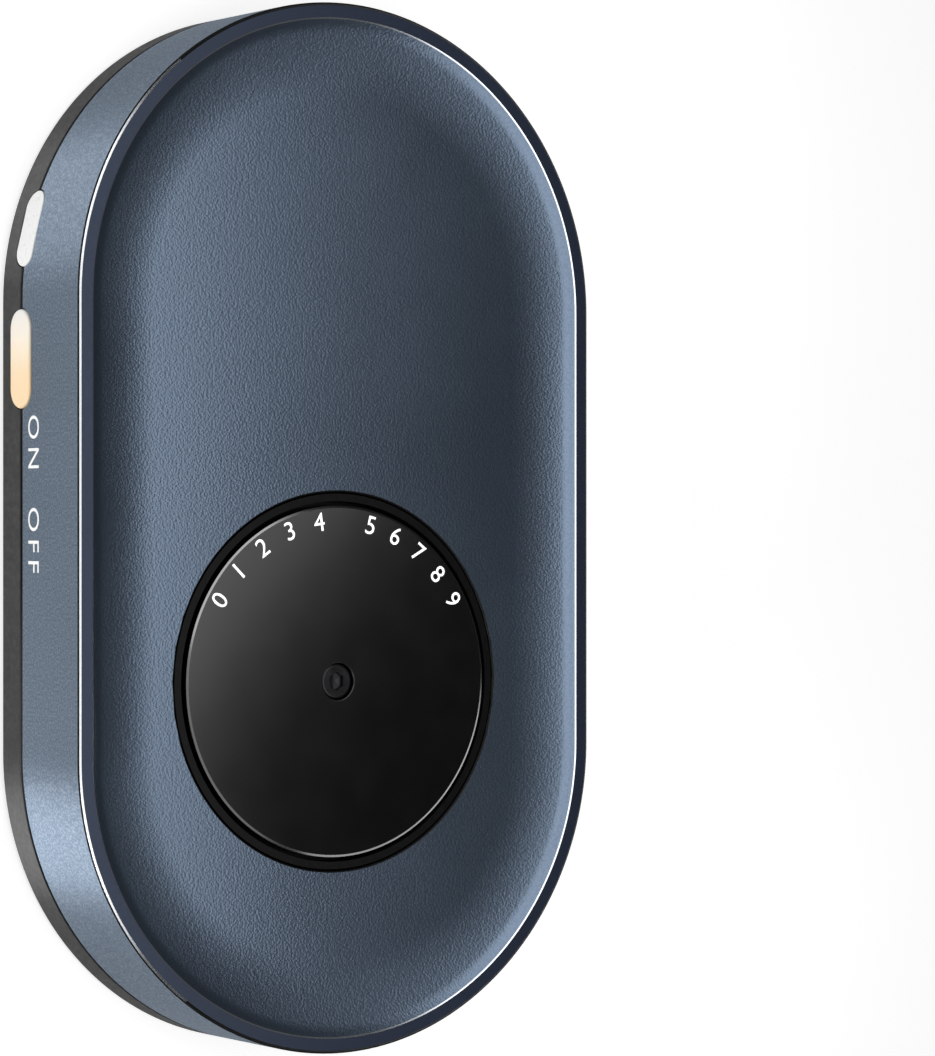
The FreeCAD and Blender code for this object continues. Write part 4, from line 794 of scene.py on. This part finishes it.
def cutAway(piece, parts):
    # takes closed solids out of a piece and keeps the result as its mesh
    points, faces = joinParts(parts)
    cutter = bpy.data.objects.new("cutter", cleanMesh("cutter", points, faces))
    scene.collection.objects.link(cutter)
    knife = piece.modifiers.new("openings", "BOOLEAN")
    knife.operation = "DIFFERENCE"
    knife.solver = "EXACT"
    knife.object = cutter
    bpy.context.view_layer.update()
    cutMesh = bpy.data.meshes.new_from_object(piece.evaluated_get(bpy.context.evaluated_depsgraph_get()))
    piece.modifiers.remove(knife)
    cutMesh.name = piece.name
    piece.data = cutMesh
    bpy.data.objects.remove(cutter)


def makeBase():
    # the same path, with a flat face closing it inside at the top and at the bottom
    outer, soft, low, top = case["endRadius"], case["edgeSoftness"], case["baseBottom"], case["baseTop"]
    wall = outer - case["wall"]
    lipOut = wall - base["lipGap"]
    tray = lipOut - base["lipWall"]
    floor = low + base["floor"]
    edgeSoft, lipTop = base["edgeSoft"], case["lipTop"]
    outside = softProfile([(base["flatRadius"], low, 0), (outer - base["chamfer"], low, edgeSoft),
                           (outer, low + base["chamfer"], 0.2), (outer, top, soft), (wall, top, 0)])
    lip = softProfile([(lipOut, top, 0), (lipOut, lipTop, edgeSoft), (tray, lipTop, edgeSoft),
                       (tray, floor, 0), (base["flatRadius"], floor, 0)])
    drop = np.maximum(riseBelow - case["revealGap"] / 2, 0)
    # the lip is notched behind the button, the light and the inlet
    notch = np.abs(inletAlong(stations)) <= sideOpenings["inletWidth"] / 2
    edges = notchEdges()
    for start, end in (edges[:2], edges[2:]):
        notch |= (stations > start) & (stations < end + sideOpenings["notchRamp"] / 2)
    rows = []
    for r, z in outside:
        height = np.full(len(stations), z) - (drop if z > top - case["openingBand"] else 0)
        rows.append(np.column_stack([around(stations, r), height]))
    for r, z in lip:
        height = np.where(notch, np.minimum(z, np.maximum(floor, top - drop - base["notchSink"])), z)
        rows.append(np.column_stack([around(stations, r), height]))
    count = len(stations)
    faces = gridFaces(len(rows), count)
    faces += [list(range(count))[::-1], list(range((len(rows) - 1) * count, len(rows) * count))]
    parts = [(np.concatenate(rows), faces)]
    sleeve = low + base["headSink"]
    for posts, rim, height in ((casePosts(), shell["columnRadius"], top),
                               (plateScrews, base["plateColumnRadius"], floor + base["plateColumnHeight"])):
        tube = [(base["headRadius"], floor), (rim, floor), (rim, height), (base["boreRadius"], height),
                (base["boreRadius"], sleeve), (base["headRadius"], sleeve)]
        for post in posts:
            parts.append((turned(tube, post, 48), gridFaces(len(tube), 48, closeRows=True)))
    bottom, bottomFaces = parts[0]
    piece = makePiece("caseBase", bottom, bottomFaces, "case", [finishes["base_black"]])
    cutters = []
    under, over = low - base["cutPast"], floor + base["cutPast"]
    seat = base["footRadius"] + base["footGap"]
    for places, radius, depth, steps in ((feet, seat, low + base["footSeat"], 64),
                                         (screwPlaces, base["headRadius"], over, 48)):
        drum = [(0, under), (radius, under), (radius, depth), (0, depth)]
        cutters += [(turned(drum, place, steps), gridFaces(len(drum), steps)) for place in places]
    panel = roundedBox(base["panelLength"], base["panelWidth"], base["panelCorner"])
    cutters.append(prism(panel + [0, base["panelPlace"]], under, low + base["panelDepth"]))
    cutAway(piece, cutters)
    points, tubeFaces = joinParts(parts[1:])
    sleeves = makePiece("screwColumns", points, tubeFaces, "case", [finishes["base_black"]])
    return piece, sleeves


caseBase, screwColumns = makeBase()
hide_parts("base_cover")
print("base made")

# ------- rubber feet

foot = {
    "radius": 6.0,
    "soft": 0.45,
    "grooveRadius": 4.2,
    "grooveWidth": 0.5,
    "grooveDepth": 0.2,
    "grooveLean": 0.1,
}


def makeFeet():
    # low round pads with a shallow ring groove in the tread
    low, high = boxOf("rubber_feet")
    bottom, top = low[2], high[2]
    inside, outside = foot["grooveRadius"] - foot["grooveWidth"], foot["grooveRadius"]
    deep, lean = bottom + foot["grooveDepth"], foot["grooveLean"]
    profile = softProfile([(0, bottom, 0), (inside, bottom, 0.08), (inside + lean, deep, 0.04),
                           (outside - lean, deep, 0.04), (outside, bottom, 0.08),
                           (foot["radius"], bottom, foot["soft"]), (foot["radius"], top, 0.1), (0, top, 0)])
    parts = [(turned(profile, place, 96), gridFaces(len(profile), 96)) for place in feet]
    points, faces = joinParts(parts)
    return makePiece("footPads", points, faces, "case", [finishes["foot_rubber"]])


footPads = makeFeet()
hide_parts("rubber_feet")

# ------- turntable disc and its screw

disc = {
    "bevelWidth": 0.32,
    "bevelFall": 0.12,
    "bevelShine": 1.0,         # the bevel mirrors more than the flat
    "sinkRadius": 2.475,
    "sinkDepth": 1.65,
    "boreRadius": 1.35,
    "shankRadius": 1.25,
    "headRadius": 2.375,
    "headHeight": 1.3,
    "headSoft": 0.35,
    "hexRadius": 1.25,
    "hexDepth": 0.78,
    "steps": 256,
    "screwSteps": 96,
}


def makeDisc():
    # flat disc with a bevelled edge and a round sink for its screw
    radius = (discHigh[0] - discLow[0]) / 2
    low, top = discLow[2], discHigh[2]
    seat, steps = top - disc["sinkDepth"], disc["steps"]
    profile = softProfile([(disc["boreRadius"], seat, 0), (disc["sinkRadius"], seat, 0.1),
                           (disc["sinkRadius"], top, 0.12), (radius - disc["bevelWidth"], top, 0.03),
                           (radius, top - disc["bevelFall"], 0.06), (radius, low, 0.15),
                           (disc["boreRadius"], low, 0)])
    middle = (profile + np.roll(profile, -1, axis=0)) / 2
    onBevel = (middle[:, 0] > radius - disc["bevelWidth"]) & (middle[:, 1] > top - disc["bevelFall"])
    return makePiece("turntableTop", turned(profile, spindle, steps),
                     gridFaces(len(profile), steps, closeRows=True), "turntable",
                     [finishes["disc_black"], discGloss("discBevel", disc["bevelShine"])],
                     np.repeat(onBevel.astype(int), steps))


def makeDiscScrew():
    # turned head whose hexagon socket is a radius that depends on the angle
    low, high = boxOf("turntable_screw")
    top = high[2]
    shank, under = disc["shankRadius"], top - disc["headHeight"]
    steps = disc["screwSteps"]
    angle = np.arange(steps) * 2 * math.pi / steps
    side = math.radians(60)
    hexagon = disc["hexRadius"] * math.cos(side / 2) / np.cos((angle + side / 2) % side - side / 2)
    outside = softProfile([(0, low[2], 0), (shank, low[2], 0.2), (shank, under, 0),
                           (disc["headRadius"], under, 0.05), (disc["headRadius"], top, disc["headSoft"]),
                           (disc["hexRadius"] + 0.15, top, 0)])
    rows = [turned([point], spindle, steps) for point in outside]
    socket = disc["hexDepth"]
    for share, depth in ((1.04, 0), (1.0, 0.04), (1.0, socket), (0.5, socket + 0.1), (0, socket + 0.2)):
        radius = hexagon * share
        rows.append(np.column_stack([spindle[0] + radius * np.cos(angle), spindle[1] + radius * np.sin(angle),
                                     np.full(steps, top - depth)]))
    return makePiece("discScrew", np.concatenate(rows), gridFaces(len(rows), steps),
                     "turntable", [finishes["screw_black"]])


turntableTop = makeDisc()
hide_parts("turntable_disc")
discScrew = makeDiscScrew()
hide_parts("turntable_screw")
print("turntable made")

# ------- power button

button = {
    "crown": 0.06,             # how far the face swells in its middle
    "soft": 0.32,
    "frontDepth": 0.4,         # what lies this near the face moves with its edge
    "backGap": 0.15,
    "earThickness": 1.0,
    "stemWidth": 3.0,
    "stemHeight": 2.4,
    "stemCorner": 0.3,
}


def pillOutline(length, height, steps=24):
    # round-ended outline in (along, up), counter-clockwise seen from outside
    end = height / 2
    turn = np.linspace(-math.pi / 2, math.pi / 2, steps)
    right = np.column_stack([length / 2 - end + end * np.cos(turn), end * np.sin(turn)])
    return np.vstack([right, -right])


def onSide(depth, outline):
    # an outline of (along, up) set in the left side at one depth or at a depth for each point
    return np.column_stack([np.broadcast_to(depth, len(outline)), outline[:, 0] + buttonPlace,
                            outline[:, 1] + case["seam"]])


def makeButton():
    # nested round-ended outlines stacked from the back of the key to its face, which lies behind
    # its highest line by the crown times the square of the share of the way left to that line
    face, back = buttonLow[0], -(case["endRadius"] - case["wall"]) + button["backGap"]
    size = np.array([buttonLength, buttonHeight])
    section = softProfile([(0, back, 0), (0, face, button["soft"]), (2.0, face, 0)])[:-1]
    rows = []
    for inset, depth in section:
        edge = button["crown"] if depth < face + button["frontDepth"] else 0
        rows.append(onSide(depth + edge, pillOutline(*(size - 2 * inset))))
    for share in (0.5, 0.8, 0.97):
        inset = button["soft"] + (buttonHeight / 2 - button["soft"]) * share
        depth = face + button["crown"] * (1 - share) ** 2
        rows.append(onSide(depth, pillOutline(*(size - 2 * inset))))
    count = len(rows[0])
    faces = gridFaces(len(rows), count)
    faces += [list(range(count))[::-1], list(range((len(rows) - 1) * count, len(rows) * count))]
    ear = button["earThickness"]
    earLength = buttonHigh[1] - buttonLow[1]
    earHeight = buttonHeight - sideOpenings["slotGap"]
    parts = [(np.concatenate(rows), faces)]
    for low, high, length, height in ((back, back + ear, earLength, earHeight),
                                      (back + ear, buttonHigh[0], button["stemWidth"], button["stemHeight"])):
        points, boxFaces = prism(roundedBox(length, height, button["stemCorner"]), low, high)
        parts.append((onSide(points[:, 2], points[:, :2]), boxFaces))
    allPoints, allFaces = joinParts(parts)
    return makePiece("powerKey", allPoints, allFaces, "button", [finishes["button_cream"]])


powerKey = makeButton()
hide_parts("power_button")

# ------- status light

light = {
    "proud": 0.05,
    "soft": 0.16,
    "wallGap": 0.05,
    "flangeDepth": 1.25,
    "faceInsets": (0.6, 1.2, 1.8, 2.1),
}


def makeLens():
    # round-ended outlines wrapped round the far end of the case at one radius each
    outer = case["endRadius"] + light["proud"]
    inner = case["endRadius"] - case["wall"] - light["wallGap"]
    back = inner - light["flangeDepth"]
    long, tall = sideOpenings["lensLength"], sideOpenings["lensHeight"]
    flange = (long + 2 * sideOpenings["lensFlange"], tall + sideOpenings["lensFlange"])
    face = softProfile([(0, inner, 0), (0, outer, light["soft"]), (1.5, outer, 0)])[:-1]
    rows = [(*flange, back), (*flange, inner), (long, tall, inner)]
    rows += [(long - 2 * inset, tall - 2 * inset, radius) for inset, radius in face[1:]]
    rows += [(long - 2 * inset, tall - 2 * inset, outer) for inset in light["faceInsets"]]
    turn = math.radians(180 - sideOpenings["lensAngle"])
    grid = []
    for length, height, radius in rows:
        outline = pillOutline(length, height, 32)
        angle = turn - outline[:, 0] / case["endRadius"]
        grid.append(np.column_stack([radius * np.cos(angle), case["endCentre"] + radius * np.sin(angle),
                                     case["seam"] + outline[:, 1]]))
    count = len(grid[0])
    faces = gridFaces(len(grid), count)
    # the front and back are closed by strips sewn from the lower long side to the upper one
    strip = np.arange(count // 2 - 1)
    for first in (0, (len(grid) - 1) * count):
        faces += (first + np.stack([strip, strip + 1, count - 2 - strip, count - 1 - strip], -1)).tolist()
    return makePiece("lightWindow", np.concatenate(grid), faces,
                     "case", [finishes["lens_white"]])


lightWindow = makeLens()
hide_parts("light_lens")
print("button and light made")

# ------- printing: plain numerals round the disc, ON and OFF on the side

printing = {
    "thickness": 0.012,
    "numeralHeight": 2.45,
    "numeralRadius": 21.5,
    "firstArc": (-59.0, -8.0),     # degrees clockwise from the far end, five numerals in each
    "secondArc": (14.0, 60.0),
    "switchHeight": 2.9,
    "switchMiddle": 9.35,          # height above the desk
    "onPlace": 11.2,
    "offPlace": -1.6,
    "letterSpacing": 1.35,
}


def textPoints(words, height, spacing=1):
    # words in the built-in font as a thin centred mesh, scaled so that they are as tall as asked
    curve = bpy.data.curves.new("words", "FONT")
    curve.body = words
    curve.align_x = "CENTER"
    curve.space_character = spacing
    curve.resolution_u = 6
    curve.extrude = 0.5
    holder = bpy.data.objects.new("words", curve)
    scene.collection.objects.link(holder)
    bpy.context.view_layer.update()
    mesh = bpy.data.meshes.new_from_object(holder.evaluated_get(bpy.context.evaluated_depsgraph_get()))
    places = np.empty(len(mesh.vertices) * 3)
    mesh.vertices.foreach_get("co", places)
    places = places.reshape(-1, 3)
    faces = [list(polygon.vertices) for polygon in mesh.polygons]
    tall = places[:, 1].max() - places[:, 1].min()
    places[:, 1] -= (places[:, 1].max() + places[:, 1].min()) / 2
    places[:, 0] -= (places[:, 0].max() + places[:, 0].min()) / 2
    places[:, :2] *= height / tall
    places[:, 2] *= printing["thickness"]
    bpy.data.objects.remove(holder)
    bpy.data.curves.remove(curve)
    bpy.data.meshes.remove(mesh)
    return places, faces


def makeNumerals():
    # numerals turned about the spindle, with their feet towards it
    top = discHigh[2] + printing["thickness"] / 2
    angles = np.concatenate([np.linspace(*printing["firstArc"], 5), np.linspace(*printing["secondArc"], 5)])
    parts = []
    for number, angle in enumerate(np.radians(angles)):
        points, faces = textPoints(str(number), printing["numeralHeight"])
        out = points[:, 1] + printing["numeralRadius"]
        x = points[:, 0] * math.cos(angle) + out * math.sin(angle)
        y = -points[:, 0] * math.sin(angle) + out * math.cos(angle)
        parts.append((np.column_stack([x + spindle[0], y + spindle[1], points[:, 2] + top]), faces))
    points, faces = joinParts(parts)
    return makePiece("discNumerals", points, faces, "turntable", [printWhite])


def makeSwitchWords():
    # read from the far end to the near end, with the tops of the letters towards the rim
    parts = []
    wall = -case["endRadius"] - printing["thickness"] / 2
    for words, place in (("ON", printing["onPlace"]), ("OFF", printing["offPlace"])):
        points, faces = textPoints(words, printing["switchHeight"], printing["letterSpacing"])
        height = printing["switchMiddle"] + points[:, 1]
        parts.append((np.column_stack([wall - points[:, 2], place - points[:, 0], height]), faces))
    points, faces = joinParts(parts)
    return makePiece("switchWords", points, faces, "case", [printWhite])


discNumerals = makeNumerals()
switchWords = makeSwitchWords()
print("printing made")

# ------- floor, lights and camera

studio = {
    "floorColour": 0.82,
    "floorGlow": 0.62,             # how much of the floor's white is its own, so that shadows stay pale
    "floorReach": 3.0,             # metres
    "floorDrop": 0.02,             # millimetres under the feet
    "world": 0.06,
}
softboxes = {                      # place and target in metres, size in metres, watts, degrees of roll
    # low over the left half of the case
    "overhead": ((-0.002, 0, 0.18), (-0.002, 0, 0), (0.15, 0.34), 0.26, 0),
    # beside the two ends of the left side
    "farSide": ((-0.43, 0.285, 0.09), (-0.03, 0.03, 0.012), (0.34, 0.16), 0.70, 0),
    "nearSide": ((-0.448, -0.252, 0.09), (-0.03, -0.03, 0.012), (0.27, 0.16), 1.34, 0),
    # a long narrow one that the rim's cut edges mirror
    "edgeLine": ((-0.4, 0, 0.235), (0, 0, 0.235), (1.5, 0.08), 0.55, 0),
    # for the disc alone, turned so that its sheen runs slantwise
    "discSheen": ((0.036, 0.036, 0.2), (0.036, 0.036, 0), (0.16, 0.16), 0.33, 45),
    # for the disc alone, mirrored by the near right part of its bevel
    "discEdge": ((0.303, -0.21, 0.194), (-0.027, -0.09, 0.024), (0.44, 0.09), 0.5, -40),
}


def makeFloor():
    # white to the camera, to reflections and through glass; what it throws on the case is plain
    mesh = bpy.data.meshes.new("studioFloor")
    reach, low = studio["floorReach"], -studio["floorDrop"] * mm
    corners = [(x * reach, y * reach, low) for x, y in ((-1, -1), (1, -1), (1, 1), (-1, 1))]
    mesh.from_pydata(corners, [], [(0, 1, 2, 3)])
    material, nodes, links, surface = newMaterial("studioFloor")
    tone = studio["floorColour"]
    surface.inputs["Base Color"].default_value = (tone, tone, tone, 1)
    surface.inputs["Roughness"].default_value = 0.9
    rays = nodes.new("ShaderNodeLightPath")
    seen = nodes.new("ShaderNodeMath")
    seen.operation = "MAXIMUM"
    links.new(rays.outputs["Is Camera Ray"], seen.inputs[0])
    links.new(rays.outputs["Is Glossy Ray"], seen.inputs[1])
    alsoThrough = nodes.new("ShaderNodeMath")
    alsoThrough.operation = "MAXIMUM"
    links.new(seen.outputs[0], alsoThrough.inputs[0])
    links.new(rays.outputs["Is Transmission Ray"], alsoThrough.inputs[1])
    glow = nodes.new("ShaderNodeMath")
    glow.operation = "MULTIPLY"
    glow.inputs[1].default_value = studio["floorGlow"]
    links.new(alsoThrough.outputs[0], glow.inputs[0])
    surface.inputs["Emission Color"].default_value = (1, 1, 1, 1)
    links.new(glow.outputs[0], surface.inputs["Emission Strength"])
    # seen from below it is clear, so that the underside can be looked at
    clear = nodes.new("ShaderNodeBsdfTransparent")
    either = nodes.new("ShaderNodeMixShader")
    links.new(nodes.new("ShaderNodeNewGeometry").outputs["Backfacing"], either.inputs["Fac"])
    links.new(surface.outputs["BSDF"], either.inputs[1])
    links.new(clear.outputs["BSDF"], either.inputs[2])
    links.new(either.outputs["Shader"], nodes["Material Output"].inputs["Surface"])
    mesh.materials.append(material)
    floor = bpy.data.objects.new("studioFloor", mesh)
    scene.collection.objects.link(floor)


def makeWorld():
    # white behind the object, and dim for everything else
    world = bpy.data.worlds.new("studio")
    scene.world = world
    world.use_nodes = True
    nodes, links = world.node_tree.nodes, world.node_tree.links
    shine = nodes["Background"]
    rays = nodes.new("ShaderNodeLightPath")
    level = nodes.new("ShaderNodeMapRange")
    level.inputs["To Min"].default_value = studio["world"]
    level.inputs["To Max"].default_value = 1.0
    links.new(rays.outputs["Is Camera Ray"], level.inputs["Value"])
    shine.inputs["Color"].default_value = (1, 1, 1, 1)
    links.new(level.outputs["Result"], shine.inputs["Strength"])


def softbox(name, place, target, size, power, roll):
    lamp = bpy.data.lights.new(name, "AREA")
    lamp.shape = "RECTANGLE"
    lamp.size, lamp.size_y = size
    lamp.energy = power
    holder = bpy.data.objects.new(name, lamp)
    aim = (Vector(target) - Vector(place)).to_track_quat("-Z", "Y")
    turn = aim.to_matrix() @ Matrix.Rotation(math.radians(roll), 3, "Z")
    holder.matrix_world = Matrix.Translation(place) @ turn.to_4x4()
    holder.visible_camera = False
    scene.collection.objects.link(holder)
    return holder


def makeLights():
    holders = {name: softbox(name, *values) for name, values in softboxes.items()}
    for name, pieces in (("discSheen", (turntableTop, discNumerals)), ("discEdge", (turntableTop,))):
        lit = bpy.data.collections.new(name)
        for piece in pieces:
            lit.objects.link(piece)
        holders[name].light_linking.receiver_collection = lit


camera = {
    "yaw": 32.85,                  # degrees away from straight down, towards the button side
    "distance": 523.0,             # from the middle of the rim's plane
    "aim": 16.4,                   # to the right of that middle, so the object sits left in the frame
    "scale": 7.499,                # pixels per millimetre at the middle of the rim's plane
    "frameHeight": 1056,
    "sensor": 36,
    "clipStart": 0.01,             # metres
}


def makeCamera():
    # stands back along the turned upright and looks a little past the middle, with no roll
    yaw = math.radians(camera["yaw"])
    right = Vector((math.cos(yaw), 0, math.sin(yaw)))
    back = Vector((-math.sin(yaw), 0, math.cos(yaw)))
    middle = Vector((0, 0, case["shellTop"])) * mm
    place = middle + back * camera["distance"] * mm
    look = (middle + right * camera["aim"] * mm - place).normalized()
    across = look.cross(Vector((0, 1, 0))).normalized()
    lens = bpy.data.cameras.new("studioCamera")
    lens.sensor_width = camera["sensor"]
    lens.lens = camera["scale"] * camera["distance"] * camera["sensor"] / camera["frameHeight"]
    lens.clip_start = camera["clipStart"]
    holder = bpy.data.objects.new("studioCamera", lens)
    turn = Matrix((across, across.cross(look), -look)).transposed().to_quaternion()
    holder.matrix_world = Matrix.LocRotScale(place, turn, None)
    scene.collection.objects.link(holder)
    scene.camera = holder


makeFloor()
makeWorld()
makeLights()
makeCamera()
scene.view_settings.view_transform = "Standard"
print("floor, lights and camera made")
